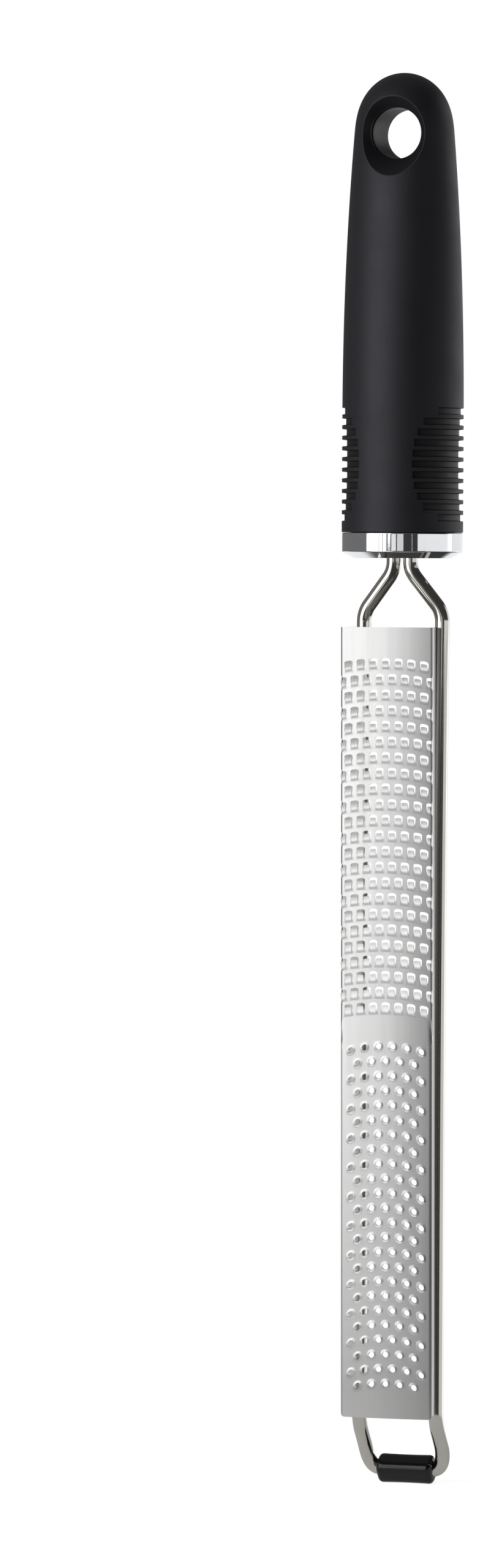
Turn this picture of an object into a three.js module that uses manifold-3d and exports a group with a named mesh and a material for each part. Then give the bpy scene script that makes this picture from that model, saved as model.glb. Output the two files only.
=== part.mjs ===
// Rasp grater: a moulded handle with a hanging hole, a bent rod frame, a perforated steel blade
// and a rubber foot. Millimetres, +Z up along the handle, the blade's face towards -Y, and the
// origin at the centre of the hanging bore.

import * as THREE from 'three';
import { mergeVertices } from 'three/addons/utils/BufferGeometryUtils.js';
import Module from 'manifold-3d';

const wasm = await Module();
wasm.setup();

// Fits
const fitGap = 0.3; // between two pieces that touch

// Grip, with heights measured from the hanging bore
const gripAboveBore = 16.7; // crown of the dome
const gripBelowBore = 108.3; // lower edge
const gripRadius = 16.57; // round section of the lower part
const gripTaperBelowBore = 80.5; // where the grip starts to narrow towards its top
const gripHalfWidthAtBore = 13.8;
const gripHalfDepthAtTop = 9.9;
const gripWidthPower = 2.4; // how late the width draws in
const domeWidthPower = 2.7; // roundness of the dome seen from the front
const domeDepthPower = 5; // roundness of the dome seen from the side
const gripSkin = 3; // soft skin over the hard core

// Hanging bore and its dished rim, alike on the front and the back
const boreRadius = 7.2;
const boreHalfLength = 6.65; // half of the straight wall
const dishAngle = 45; // degrees between the dish and the bore's axis
const dishSkin = 1.3; // soft skin under the dish

// Field of cross ribs on each side of the grip
const ribPitch = 2.9;
const ribGrooveHeight = 1.8;
const ribFieldAboveEdge = 18.3; // middle of the field above the grip's lower edge
const ribFieldHalfHeight = 15.8;
const ribFieldDepth = 1.5; // deepest groove floor below the grip's surface
const ribFieldSpread = 0.47; // how far the floor's curve passes outside the grip at the front

// Collar
const collarInset = 0.17; // collar's side inside the grip's
const collarBand = 5.2; // straight part
const collarBevelHeight = 1.7;
const collarBevelWidth = 3.1;
const collarWall = 1.4;
const collarFloor = 1.6;

// Frame rod
const rodRadius = 2;
const tangGap = 0.75; // between the two rods where they leave the collar
const tangLength = 60; // rod above the grip's lower edge
const splayBelowCollar = 0.9; // straight rod before the neck opens
const splayAngle = 38; // degrees
const splayBendRadius = 7.3;
const frameSpacingTop = 22.7; // between rod centres at the neck
const frameSpacingBottom = 22.1; // between rod centres at the blade's lower end
const legBendAboveBladeEnd = 0.9; // where the legs start to lean back
const legBendRadius = 9;
const legAngle = 38; // degrees
const legStraight = 4.2;
const cornerDrop = 7.45; // from a leg's end down to the cross bar
const cornerSetback = 3.7; // from a leg's end back to the cross bar
const cornerWidth = 3.75; // from a leg in to the straight part of the cross bar
const cornerReach = 3.6; // how far the corner's curve follows the leg and the cross bar

// Blade
const neckLength = 18.8; // from the collar's underside to the blade
const bladeLength = 215.5;
const bladeThickness = 0.5;
const bladeWidth = 26.4;
const faceRadius = 60; // crown across the face
const bladeBendRadius = 1.5; // outside of the bend into a flange
const crownDepthTop = 15.3; // face's crown in front of the rods
const crownDepthBottom = 11.9;
const flangeInset = 0.2; // flange edge inside the rod's middle, halfway down

// Rasp teeth, in staggered rows that arch up in the middle
const raspTopMargin = 9.75; // from the blade's upper edge to the first row
const raspZone = 93.6; // from the first row to the last
const raspRowPitch = 4.254;
const raspColumnPitch = 3.62;
const raspRowRadius = 70;
const raspSideMargin = 0.5; // between a tooth and the end of the side bend
const toothWidth = 2.4; // upper edge of a tooth's opening
const toothLipWidth = 1.8; // cutting edge at the opening's lower end
const toothTop = 1.5; // opening's upper edge above the row's middle
const toothOpening = 0.9;
const toothRise = 0.4; // cutting edge above the sheet

// Punched holes, in staggered rows that arch up in the middle
const zoneGap = 10.56; // from the last row of teeth to the first row of holes
const dotBottomMargin = 9.2; // from the last row of holes to the blade's lower edge
const dotRowPitch = 4.005;
const dotColumnPitch = 4.04;
const dotRowRadius = 38;
const dotSideMargin = 0.5; // between a hole and the start of the side bend
const dotRadius = 0.95;
const dotRise = 0.2; // rim of a hole above the sheet

// Foot sleeve, which leans with the legs
const footLength = 15.8;
const footHeight = 6.4;
const footDepth = 6.4;
const footEdgeRadius = 1.9;
const footEndRounding = 0.9;

// Smoothness of the round pieces
const gripSides = 32;
const coreSides = 24;
const collarSides = 40;
const rodSides = 12;
const boreSides = 24;
const dotSides = 6;
const bendSteps = 4;
const sideBendSteps = 4;
const gripSteps = 8;
const coreSteps = 5;
const slotEndSteps = 4;
const footCornerSteps = 3;

// Distances under which two points are the same
const mergeDistance = 1e-4;
const sameDistance = 1e-6;

// Heights that follow from the driving dimensions
const gripBottomZ = -gripBelowBore;
const collarTopZ = gripBottomZ - fitGap;
const collarBottomZ = collarTopZ - collarBand - collarBevelHeight;
const collarFloorZ = collarBottomZ + collarFloor;
const bladeTopZ = collarBottomZ - neckLength;
const bladeBottomZ = bladeTopZ - bladeLength;
const tangHalfSpacing = rodRadius + tangGap / 2;
const collarRadius = gripRadius - collarInset;

// Turning points of the legs, which lean back from the frame, and the cross bar's place
const radians = THREE.MathUtils.degToRad;
const lean = radians(legAngle);
const legTopZ = bladeBottomZ + legBendAboveBladeEnd;
const legEndY = legBendRadius * (1 - Math.cos(lean)) + legStraight * Math.sin(lean);
const legEndZ = legTopZ - legBendRadius * Math.sin(lean) - legStraight * Math.cos(lean);
const crossBarY = legEndY + cornerSetback;
const crossBarZ = legEndZ - cornerDrop;

// Closed geometry to solid, without the empty triangles at a lathe's poles.
function solidOf(geometry) {
  const bare = new THREE.BufferGeometry();
  bare.setAttribute('position', geometry.getAttribute('position').clone());
  bare.setIndex(geometry.getIndex());
  const merged = mergeVertices(bare, mergeDistance);
  const corners = merged.getIndex().array;
  const triVerts = [];
  for (let i = 0; i < corners.length; i += 3) {
    const [a, b, c] = corners.slice(i, i + 3);
    if (a !== b && b !== c && c !== a) triVerts.push(a, b, c);
  }
  const vertProperties = new Float32Array(merged.getAttribute('position').array);
  return new wasm.Manifold(
    new wasm.Mesh({ numProp: 3, vertProperties, triVerts: new Uint32Array(triVerts) }),
  );
}

// Solid to geometry.
function geometryOf(solid) {
  const mesh = solid.getMesh();
  const geometry = new THREE.BufferGeometry();
  geometry.setAttribute('position', new THREE.BufferAttribute(mesh.vertProperties, 3));
  geometry.setIndex(new THREE.BufferAttribute(mesh.triVerts, 1));
  geometry.computeVertexNormals();
  return geometry;
}

// Join many solids into one.
function joined(solids) {
  return wasm.Manifold.union(solids);
}

// Box between two corners.
function boxSolid(min, max) {
  const size = new THREE.Vector3().subVectors(max, min);
  const middle = new THREE.Vector3().addVectors(min, max).multiplyScalar(0.5);
  const box = new THREE.BoxGeometry(size.x, size.y, size.z);
  return solidOf(box.translate(middle.x, middle.y, middle.z));
}

// Solid of revolution about the Z axis, from [radius, height] pairs that run upwards.
function turnedGeometry(profile, sides) {
  const points = profile.map(([radius, height]) => new THREE.Vector2(radius, height));
  return new THREE.LatheGeometry(points, sides).rotateX(Math.PI / 2);
}

// Half-width and half-depth of the handle at a height, drawn in by an inset.
function handleSection(z, inset) {
  const rise = Math.max(0, z + gripTaperBelowBore);
  const narrowing = (rise / gripTaperBelowBore) ** gripWidthPower;
  const width = gripRadius - (gripRadius - gripHalfWidthAtBore) * narrowing;
  const thinning = (1 - Math.cos((Math.PI * rise) / (gripTaperBelowBore + gripAboveBore))) / 2;
  const depth = gripRadius - (gripRadius - gripHalfDepthAtTop) * thinning;
  const height = Math.max(0, z) / (gripAboveBore - inset);
  const domeWidth = Math.sqrt(Math.max(0, 1 - height ** domeWidthPower));
  const domeDepth = Math.sqrt(Math.max(0, 1 - height ** domeDepthPower));
  return { halfWidth: (width - inset) * domeWidth, halfDepth: (depth - inset) * domeDepth };
}

// Lathe along Z whose sections are ellipses: sectionAt gives the half-axes at each height.
function ovalSolid(heights, sectionAt, sides) {
  const profile = heights.map((z) => [sectionAt(z).halfWidth, z]);
  const first = heights[0];
  const last = heights[heights.length - 1];
  const geometry = turnedGeometry([[0, first], ...profile, [0, last]], sides);
  const position = geometry.getAttribute('position');
  for (let i = 0; i < position.count; i++) {
    const { halfWidth, halfDepth } = sectionAt(position.getZ(i));
    const stretch = halfWidth > 0 ? halfDepth / halfWidth : 0;
    position.setY(i, position.getY(i) * stretch);
  }
  return solidOf(geometry);
}

// The handle's outer shape, drawn in by an inset, from a lower end to its dome.
function handleSolid(inset, bottomZ, sides, steps) {
  const top = gripAboveBore - inset;
  const heights = [bottomZ];
  for (let i = 0; i <= steps; i++) heights.push(-gripTaperBelowBore * (1 - i / steps));
  for (let i = 1; i < steps; i++) heights.push(top * Math.sin((Math.PI / 2) * (i / steps)));
  heights.push(top);
  return ovalSolid(heights, (z) => handleSection(z, inset), sides);
}

// Cylinder along Y for the hanging bore.
function boreSolid() {
  const length = 4 * gripRadius;
  return solidOf(new THREE.CylinderGeometry(boreRadius, boreRadius, length, boreSides));
}

// The two dishes at the bore's ends, sunk deeper into the handle by a wall thickness.
function dishSolid(thickness) {
  const slope = Math.tan(radians(dishAngle));
  const sink = thickness / Math.sin(radians(dishAngle));
  const inner = boreHalfLength - sink;
  const reach = 2 * gripRadius;
  const overlap = boreRadius / 2;
  const radiusAt = (y) => boreRadius + (y - inner) * slope;
  const near = inner - overlap / slope;
  const profile = [[0, near], [radiusAt(near), near], [radiusAt(reach), reach], [0, reach]];
  const cone = turnedGeometry(profile, boreSides);
  const back = solidOf(cone.clone().rotateX(-Math.PI / 2));
  const front = solidOf(cone.rotateX(Math.PI / 2));
  return joined([front, back]);
}

// Rings that cut the rib grooves: each ends on an oval floor that is deepest in mid-field.
function ribGrooveSolid() {
  const reach = 2 * gripRadius;
  const rings = [];
  const outermost = Math.floor(ribFieldHalfHeight / ribPitch);
  for (let i = -outermost; i <= outermost; i++) {
    const fromMiddle = i * ribPitch;
    const z = gripBottomZ + ribFieldAboveEdge + fromMiddle;
    const { halfWidth, halfDepth } = handleSection(z, 0);
    const depth = ribFieldDepth * (1 - (fromMiddle / ribFieldHalfHeight) ** 2);
    const floor = { halfWidth: halfWidth - depth, halfDepth: halfDepth + ribFieldSpread };
    const low = new THREE.Vector3(-reach, -reach, z - ribGrooveHeight / 2);
    const high = new THREE.Vector3(reach, reach, z + ribGrooveHeight / 2);
    const floorSolid = ovalSolid([z - ribPitch, z + ribPitch], () => floor, gripSides);
    rings.push(boxSolid(low, high).subtract(floorSolid));
  }
  return joined(rings);
}

// Outline around both rods, grown by a gap.
function tangOutline(gap) {
  const radius = rodRadius + gap;
  const outline = new THREE.Shape();
  outline.absarc(tangHalfSpacing, 0, radius, -Math.PI / 2, Math.PI / 2, false);
  outline.absarc(-tangHalfSpacing, 0, radius, Math.PI / 2, (3 * Math.PI) / 2, false);
  return outline;
}

// Straight slot for both rods between two heights.
function tangSlotSolid(bottomZ, topZ) {
  const options = { depth: topZ - bottomZ, bevelEnabled: false, curveSegments: slotEndSteps };
  return solidOf(new THREE.ExtrudeGeometry(tangOutline(fitGap), options).translate(0, 0, bottomZ));
}

function gripSolid() {
  const cavity = handleSolid(gripSkin, gripBottomZ - gripSkin, coreSides, coreSteps);
  return handleSolid(0, gripBottomZ, gripSides, gripSteps)
    .subtract(cavity.subtract(dishSolid(dishSkin)))
    .subtract(dishSolid(0))
    .subtract(boreSolid())
    .subtract(ribGrooveSolid());
}

function handleCoreSolid() {
  const spigotRadius = collarRadius - collarWall - fitGap;
  const spigotBottomZ = collarFloorZ + fitGap;
  const spigotTopZ = gripBottomZ + gripSkin;
  const spigotProfile = [
    [0, spigotBottomZ],
    [spigotRadius, spigotBottomZ],
    [spigotRadius, collarTopZ],
    [gripRadius - gripSkin - fitGap, gripBottomZ],
    [gripRadius - gripSkin - fitGap, spigotTopZ],
    [0, spigotTopZ],
  ];
  const spigot = solidOf(turnedGeometry(spigotProfile, coreSides));
  const socketTopZ = gripBottomZ + tangLength + fitGap;
  return handleSolid(gripSkin + fitGap, gripBottomZ, coreSides, coreSteps)
    .add(spigot)
    .subtract(dishSolid(dishSkin + fitGap))
    .subtract(boreSolid())
    .subtract(tangSlotSolid(collarBottomZ, socketTopZ));
}

function collarSolid() {
  const bandBottomZ = collarBottomZ + collarBevelHeight;
  const innerRadius = collarRadius - collarWall;
  const profile = [
    [0, collarBottomZ],
    [collarRadius - collarBevelWidth, collarBottomZ],
    [collarRadius, bandBottomZ],
    [collarRadius, collarTopZ],
    [innerRadius, collarTopZ],
    [innerRadius, collarFloorZ],
    [0, collarFloorZ],
  ];
  const slot = tangSlotSolid(collarBottomZ - collarFloor, collarTopZ);
  return solidOf(turnedGeometry(profile, collarSides)).subtract(slot);
}

// Arc of a bent rod: it starts at a point, runs along a direction and turns towards a side.
class RodBend extends THREE.Curve {
  constructor(start, direction, side, radius, angle) {
    super();
    Object.assign(this, { start, direction, side, radius, angle });
  }

  getPoint(t, target = new THREE.Vector3()) {
    const turned = this.angle * t;
    return target
      .copy(this.start)
      .addScaledVector(this.direction, this.radius * Math.sin(turned))
      .addScaledVector(this.side, this.radius * (1 - Math.cos(turned)));
  }

  getTangent(t, target = new THREE.Vector3()) {
    const turned = this.angle * t;
    return target
      .copy(this.direction)
      .multiplyScalar(Math.cos(turned))
      .addScaledVector(this.side, Math.sin(turned));
  }
}

// One half of a stretch list, seen in a mirror at X = 0 and walked the other way.
class MirroredStretch extends THREE.Curve {
  constructor(curve) {
    super();
    this.curve = curve;
  }

  getPoint(t, target = new THREE.Vector3()) {
    this.curve.getPoint(1 - t, target);
    return target.setX(-target.x);
  }

  getTangent(t, target = new THREE.Vector3()) {
    this.curve.getTangent(1 - t, target);
    return target.set(target.x, -target.y, -target.z);
  }
}

// Path of several stretches, each walked in its own number of steps.
class RodPath extends THREE.Curve {
  constructor(stretches) {
    super();
    this.stations = stretches.flatMap(({ curve, steps }) =>
      Array.from({ length: steps }, (_, i) => ({ curve, from: i / steps, to: (i + 1) / steps })),
    );
  }

  locate(t) {
    const walked = t * this.stations.length;
    const index = Math.min(this.stations.length - 1, Math.floor(walked + sameDistance));
    const { curve, from, to } = this.stations[index];
    return { curve, t: from + (to - from) * (walked - index) };
  }

  getPointAt(u, target) {
    const place = this.locate(u);
    return place.curve.getPoint(place.t, target);
  }

  getTangentAt(u, target) {
    const place = this.locate(u);
    return place.curve.getTangent(place.t, target);
  }
}

// The rod's way from the end in the handle to the middle of the cross bar, on the +X side.
function halfRodStretches() {
  const down = new THREE.Vector3(0, 0, -1);
  const outward = new THREE.Vector3(1, 0, 0);
  const inward = new THREE.Vector3(-1, 0, 0);
  const backward = new THREE.Vector3(0, 1, 0);
  const topX = frameSpacingTop / 2;
  const bottomX = frameSpacingBottom / 2;
  const stretches = [];
  const line = (from, to) => {
    stretches.push({ curve: new THREE.LineCurve3(from, to), steps: 1 });
    return to;
  };
  const bend = (curve) => {
    stretches.push({ curve, steps: bendSteps });
    return curve.getPoint(1);
  };

  const splay = radians(splayAngle);
  const tangTop = new THREE.Vector3(tangHalfSpacing, 0, gripBottomZ + tangLength);
  const splayTop = new THREE.Vector3(tangHalfSpacing, 0, collarBottomZ - splayBelowCollar);
  line(tangTop, splayTop);
  const slant = new THREE.Vector3(Math.sin(splay), 0, -Math.cos(splay));
  const slantSide = new THREE.Vector3(-Math.cos(splay), 0, -Math.sin(splay));
  const slantTop = bend(new RodBend(splayTop, down, outward, splayBendRadius, splay));
  const bendOffset = 2 * splayBendRadius * (1 - Math.cos(splay));
  const slantLength = (topX - tangHalfSpacing - bendOffset) / Math.sin(splay);
  const slantBottom = line(slantTop, slantTop.clone().addScaledVector(slant, slantLength));
  const sideTop = bend(new RodBend(slantBottom, slant, slantSide, splayBendRadius, splay));

  const legTop = new THREE.Vector3(bottomX, 0, legTopZ);
  line(sideTop, legTop);
  const legStart = bend(new RodBend(legTop, down, backward, legBendRadius, lean));
  const legDirection = new THREE.Vector3(0, Math.sin(lean), -Math.cos(lean));
  const legEnd = line(legStart, new THREE.Vector3(bottomX, legEndY, legEndZ));
  const barEnd = new THREE.Vector3(bottomX - cornerWidth, crossBarY, crossBarZ);
  const corner = new THREE.CubicBezierCurve3(
    legEnd,
    legEnd.clone().addScaledVector(legDirection, cornerReach),
    barEnd.clone().addScaledVector(inward, -cornerReach),
    barEnd,
  );
  stretches.push({ curve: corner, steps: 2 * bendSteps });
  line(barEnd, new THREE.Vector3(0, crossBarY, crossBarZ));
  return stretches;
}

// The whole bent rod, grown by a gap.
function rodSolid(gap) {
  const half = halfRodStretches();
  const otherHalf = half
    .map(({ curve, steps }) => ({ curve: new MirroredStretch(curve), steps }))
    .reverse();
  const path = new RodPath([...half, ...otherHalf]);
  const section = new THREE.Shape();
  section.absarc(0, 0, rodRadius + gap, 0, 2 * Math.PI, false);
  const options = {
    steps: path.stations.length,
    extrudePath: path,
    curveSegments: rodSides / 2,
  };
  return solidOf(new THREE.ExtrudeGeometry(section, options));
}

// Y of the face's crown at a height: the blade lies closer to the rods at its lower end.
function crownY(z) {
  const share = (bladeTopZ - z) / bladeLength;
  return -THREE.MathUtils.lerp(crownDepthTop, crownDepthBottom, share);
}

// Bent section of the blade, with Y measured back from the face's crown and angles from -Y.
const bendCentreX = bladeWidth / 2 - bladeBendRadius;
const faceHalfAngle = Math.asin(bendCentreX / (faceRadius - bladeBendRadius));
const bendCentreY = faceRadius - (faceRadius - bladeBendRadius) * Math.cos(faceHalfAngle);
const flangeEdgeY = -(rodRadius + fitGap);

// The flange is the tangent from the bend to its seat in front of the rod, halfway down the blade.
const seatX = (frameSpacingTop + frameSpacingBottom) / 4 - flangeInset - bendCentreX;
const seatY = flangeEdgeY - crownY(bladeTopZ - bladeLength / 2) - bendCentreY;
const seatAngle = Math.PI + Math.atan2(-seatX, seatY);
const flangeAngle = seatAngle - Math.acos(bladeBendRadius / Math.hypot(seatX, seatY));

// Lengths across the unbent sheet, from its middle line
const faceReach = faceRadius * faceHalfAngle;
const bendReach = faceReach + bladeBendRadius * (flangeAngle - faceHalfAngle);

// Point of the bent sheet: across and down lie in the flat pattern, rise stands out of it.
function sheetPoint(across, down, rise) {
  const u = Math.abs(across);
  const z = bladeTopZ - down;
  const onFace = u <= faceReach;
  const bendAngle = faceHalfAngle + (Math.min(u, bendReach) - faceReach) / bladeBendRadius;
  const angle = onFace ? u / faceRadius : bendAngle;
  const radius = (onFace ? faceRadius : bladeBendRadius) + rise;
  const along = Math.max(0, u - bendReach);
  const x = (onFace ? 0 : bendCentreX) + radius * Math.sin(angle) + along * Math.cos(flangeAngle);
  const y = (onFace ? faceRadius : bendCentreY) - radius * Math.cos(angle) + along * Math.sin(flangeAngle);
  return new THREE.Vector3(Math.sign(across) * x, y + crownY(z), z);
}

// Place on the sheet: flat is its place in the pattern seen from the front.
function sheetNode(across, down, rise = 0) {
  return {
    flat: new THREE.Vector2(across, -down),
    front: sheetPoint(across, down, rise),
    back: sheetPoint(across, down, rise - bladeThickness),
  };
}

// Place on a flange's free edge, which is level in front of the rods.
function flangeEdgeNode(side, down) {
  const trimmed = (rise) => {
    const bendEnd = sheetPoint(bendReach, down, rise);
    const across = bendReach + (flangeEdgeY - bendEnd.y) / Math.sin(flangeAngle);
    return { across: side * across, point: sheetPoint(side * across, down, rise) };
  };
  const front = trimmed(0);
  const back = trimmed(-bladeThickness);
  return { flat: new THREE.Vector2(front.across, -down), front: front.point, back: back.point };
}

// Sheet of even thickness, gathered as triangles of its front, its back and its edges.
class FormedSheet {
  constructor() {
    this.positions = [];
  }

  push(...points) {
    for (const point of points) this.positions.push(point.x, point.y, point.z);
  }

  // Both faces of one triangle whose corners run anticlockwise seen from the front.
  addTriangle(a, b, c) {
    this.push(a.front, b.front, c.front);
    this.push(c.back, b.back, a.back);
  }

  // Edge wall along an anticlockwise outline: the sheet lies inside it, or outside round a hole.
  addWalls(outline, aroundHole) {
    outline.forEach((node, i) => {
      const next = outline[(i + 1) % outline.length];
      const [a, b] = aroundHole ? [node, next] : [next, node];
      this.push(a.front, b.front, b.back);
      this.push(a.front, b.back, a.back);
    });
  }

  // Band between two lines of places that run the same way, measured by position.
  addBand(upper, lower, position) {
    let i = 0;
    let j = 0;
    while (i < upper.length - 1 || j < lower.length - 1) {
      const upperNext = i < upper.length - 1 ? position(upper[i + 1]) : Infinity;
      const lowerNext = j < lower.length - 1 ? position(lower[j + 1]) : Infinity;
      if (upperNext <= lowerNext) {
        this.addTriangle(upper[i], lower[j], upper[i + 1]);
        i += 1;
      } else {
        this.addTriangle(lower[j], lower[j + 1], upper[i]);
        j += 1;
      }
    }
  }

  // Patch with an anticlockwise outline and an anticlockwise hole in it.
  addPierced(outline, hole) {
    const nodes = [...outline, ...hole];
    const flatOf = (list) => list.map((node) => node.flat.clone());
    for (const corners of THREE.ShapeUtils.triangulateShape(flatOf(outline), [flatOf(hole)])) {
      const [a, b, c] = corners.map((corner) => nodes[corner]);
      const turn = b.flat.clone().sub(a.flat).cross(c.flat.clone().sub(a.flat));
      if (turn > 0) this.addTriangle(a, b, c);
      else this.addTriangle(a, c, b);
    }
    this.addWalls(hole, true);
  }

  solid() {
    const geometry = new THREE.BufferGeometry();
    geometry.setAttribute('position', new THREE.Float32BufferAttribute(this.positions, 3));
    return solidOf(geometry);
  }
}

// Staggered rows of holes. Row lines run between the rows, from one side bend's end to the other's.
class HoleZone {
  constructor({ firstRow, rows, rowPitch, columnPitch, rowRadius, reach, shift, holeAt }) {
    Object.assign(this, { firstRow, rows, rowPitch, columnPitch, rowRadius, reach, shift, holeAt });
  }

  drop(across) {
    return this.rowRadius - Math.sqrt(this.rowRadius ** 2 - across ** 2);
  }

  // Middles of a row's holes: odd rows stand half a pitch aside.
  holeColumns(row) {
    const offset = ((row + this.shift) % 2) / 2;
    const most = Math.ceil(this.reach / this.columnPitch);
    const columns = [];
    for (let k = -most; k <= most; k++) columns.push((k + offset) * this.columnPitch);
    return columns.filter((across) => Math.abs(across) <= this.reach);
  }

  // Every place where a row line needs a corner.
  lineColumns() {
    const half = this.columnPitch / 2;
    const inner = [];
    const most = Math.floor((bendReach - half / 2) / half);
    for (let k = -most; k <= most; k++) inner.push(k * half);
    const bends = [];
    for (let i = 0; i <= sideBendSteps; i++) {
      const across = THREE.MathUtils.lerp(faceReach, bendReach, i / sideBendSteps);
      const apart = inner.every((other) => Math.abs(Math.abs(other) - across) > bladeThickness / 2);
      if (apart) bends.push(-across, across);
    }
    return [...inner, ...bends].sort((a, b) => a - b);
  }

  // Row line above a row, or below the last row.
  line(row) {
    const down = this.firstRow + (row - 0.5) * this.rowPitch;
    return this.lineColumns().map((across) => sheetNode(across, down + this.drop(across)));
  }

  // Fill one row with its pierced patches and plain ends.
  fillRow(sheet, row) {
    const columns = this.holeColumns(row);
    const half = this.columnPitch / 2;
    const widest = bendReach - half / 2;
    const ends = columns.map((across) => [across - half, across + half]);
    if (ends[0][0] < -widest) ends[0][0] = -bendReach;
    if (ends[ends.length - 1][1] > widest) ends[ends.length - 1][1] = bendReach;
    const upper = this.line(row);
    const lower = this.line(row + 1);
    const within = (line, from, to) =>
      line.filter(({ flat }) => flat.x > from - sameDistance && flat.x < to + sameDistance);
    const plain = (from, to) => {
      sheet.addBand(within(upper, from, to), within(lower, from, to), (node) => node.flat.x);
    };
    plain(-bendReach, ends[0][0]);
    columns.forEach((across, i) => {
      const [from, to] = ends[i];
      const outline = [...within(lower, from, to), ...within(upper, from, to).reverse()];
      const down = this.firstRow + row * this.rowPitch + this.drop(across);
      sheet.addPierced(outline, this.holeAt(across, down));
    });
    plain(ends[ends.length - 1][1], bendReach);
  }
}

// Opening of a rasp tooth: the sheet below it is bent out to a cutting edge that faces up.
function toothHole(across, down) {
  const top = down - toothTop;
  const lip = top + toothOpening;
  return [
    sheetNode(across - toothLipWidth / 2, lip, toothRise),
    sheetNode(across + toothLipWidth / 2, lip, toothRise),
    sheetNode(across + toothWidth / 2, top),
    sheetNode(across - toothWidth / 2, top),
  ];
}

// Punched hole with a raised rim.
function dotHole(across, down) {
  return Array.from({ length: dotSides }, (_, i) => {
    const angle = (2 * Math.PI * i) / dotSides;
    const x = across + dotRadius * Math.cos(angle);
    return sheetNode(x, down - dotRadius * Math.sin(angle), dotRise);
  });
}

function bladeSolid() {
  const rowCount = (length, pitch) => Math.max(1, Math.floor(length / pitch) + 1);
  const raspRows = rowCount(raspZone, raspRowPitch);
  const rasp = new HoleZone({
    firstRow: raspTopMargin,
    rows: raspRows,
    rowPitch: raspRowPitch,
    columnPitch: raspColumnPitch,
    rowRadius: raspRowRadius,
    reach: bendReach - raspSideMargin - toothWidth / 2,
    shift: 0,
    holeAt: toothHole,
  });
  const dotFirstRow = raspTopMargin + (raspRows - 1) * raspRowPitch + zoneGap;
  const dots = new HoleZone({
    firstRow: dotFirstRow,
    rows: rowCount(bladeLength - dotBottomMargin - dotFirstRow, dotRowPitch),
    rowPitch: dotRowPitch,
    columnPitch: dotColumnPitch,
    rowRadius: dotRowRadius,
    reach: faceReach - dotSideMargin - dotRadius,
    shift: 1,
    holeAt: dotHole,
  });

  const sheet = new FormedSheet();
  const topEdge = rasp.lineColumns().map((across) => sheetNode(across, 0));
  const bottomEdge = dots.lineColumns().map((across) => sheetNode(across, bladeLength));
  const lines = [topEdge];
  for (const zone of [rasp, dots]) {
    for (let row = 0; row < zone.rows; row++) zone.fillRow(sheet, row);
    for (let row = 0; row <= zone.rows; row++) lines.push(zone.line(row));
  }
  lines.push(bottomEdge);
  const acrossOf = (node) => node.flat.x;
  const downOf = (node) => -node.flat.y;
  sheet.addBand(topEdge, rasp.line(0), acrossOf);
  sheet.addBand(rasp.line(rasp.rows), dots.line(0), acrossOf);
  sheet.addBand(dots.line(dots.rows), bottomEdge, acrossOf);

  const rightEdge = [flangeEdgeNode(1, 0), flangeEdgeNode(1, bladeLength)];
  const leftEdge = [flangeEdgeNode(-1, 0), flangeEdgeNode(-1, bladeLength)];
  sheet.addBand(rightEdge, lines.map((line) => line[line.length - 1]), downOf);
  sheet.addBand(lines.map((line) => line[0]), leftEdge, downOf);
  const outline = [rightEdge[0], ...topEdge.slice().reverse(), ...leftEdge, ...bottomEdge, rightEdge[1]];
  sheet.addWalls(outline, false);
  return sheet.solid();
}

function footSolid() {
  const halfHeight = footHeight / 2 - footEndRounding;
  const halfDepth = footDepth / 2 - footEndRounding;
  const corner = footEdgeRadius - footEndRounding;
  const outline = new THREE.Shape();
  const quarter = Math.PI / 2;
  outline.absarc(halfDepth - corner, halfHeight - corner, corner, 0, quarter, false);
  outline.absarc(corner - halfDepth, halfHeight - corner, corner, quarter, 2 * quarter, false);
  outline.absarc(corner - halfDepth, corner - halfHeight, corner, 2 * quarter, 3 * quarter, false);
  outline.absarc(halfDepth - corner, corner - halfHeight, corner, 3 * quarter, 4 * quarter, false);
  const sleeve = new THREE.ExtrudeGeometry(outline, {
    depth: footLength - 2 * footEndRounding,
    bevelThickness: footEndRounding,
    bevelSize: footEndRounding,
    bevelSegments: footCornerSteps,
    curveSegments: footCornerSteps,
  });
  const acrossX = new THREE.Matrix4().makeBasis(
    new THREE.Vector3(0, 1, 0),
    new THREE.Vector3(0, 0, 1),
    new THREE.Vector3(1, 0, 0),
  );
  const middle = footLength / 2 - footEndRounding;
  sleeve.applyMatrix4(acrossX).rotateX(lean).translate(-middle, crossBarY, crossBarZ);
  return solidOf(sleeve).subtract(rodSolid(fitGap));
}

const group = new THREE.Group();

// Add one piece with its own material.
function addPiece(name, solid, material) {
  const mesh = new THREE.Mesh(geometryOf(solid), new THREE.MeshStandardMaterial(material));
  mesh.name = name;
  group.add(mesh);
}

addPiece('grip', gripSolid(), { color: 0x1d1d20, roughness: 0.62, metalness: 0 });
addPiece('handle_core', handleCoreSolid(), { color: 0x26262a, roughness: 0.35, metalness: 0 });
addPiece('collar', collarSolid(), { color: 0xd9dadc, roughness: 0.06, metalness: 1 });
addPiece('frame_rod', rodSolid(0), { color: 0xcfcdc8, roughness: 0.12, metalness: 1 });
addPiece('blade', bladeSolid(), { color: 0xc9cacb, roughness: 0.3, metalness: 1 });
addPiece('foot', footSolid(), { color: 0x141416, roughness: 0.32, metalness: 0 });

export default group;
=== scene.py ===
"""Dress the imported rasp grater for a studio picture.

Every piece is a surface worked out with numpy in millimetres, in the frame's own axes: +Z up along
the handle, the blade's face towards -Y, and the origin in the middle of the hanging bore. Blender
gets the same points in metres.
"""

from __future__ import annotations

import logging
import math
from dataclasses import dataclass, field
from enum import Enum
from typing import Any, Callable

import bmesh
import bpy
import numpy as np
from mathutils import Matrix, Vector


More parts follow.
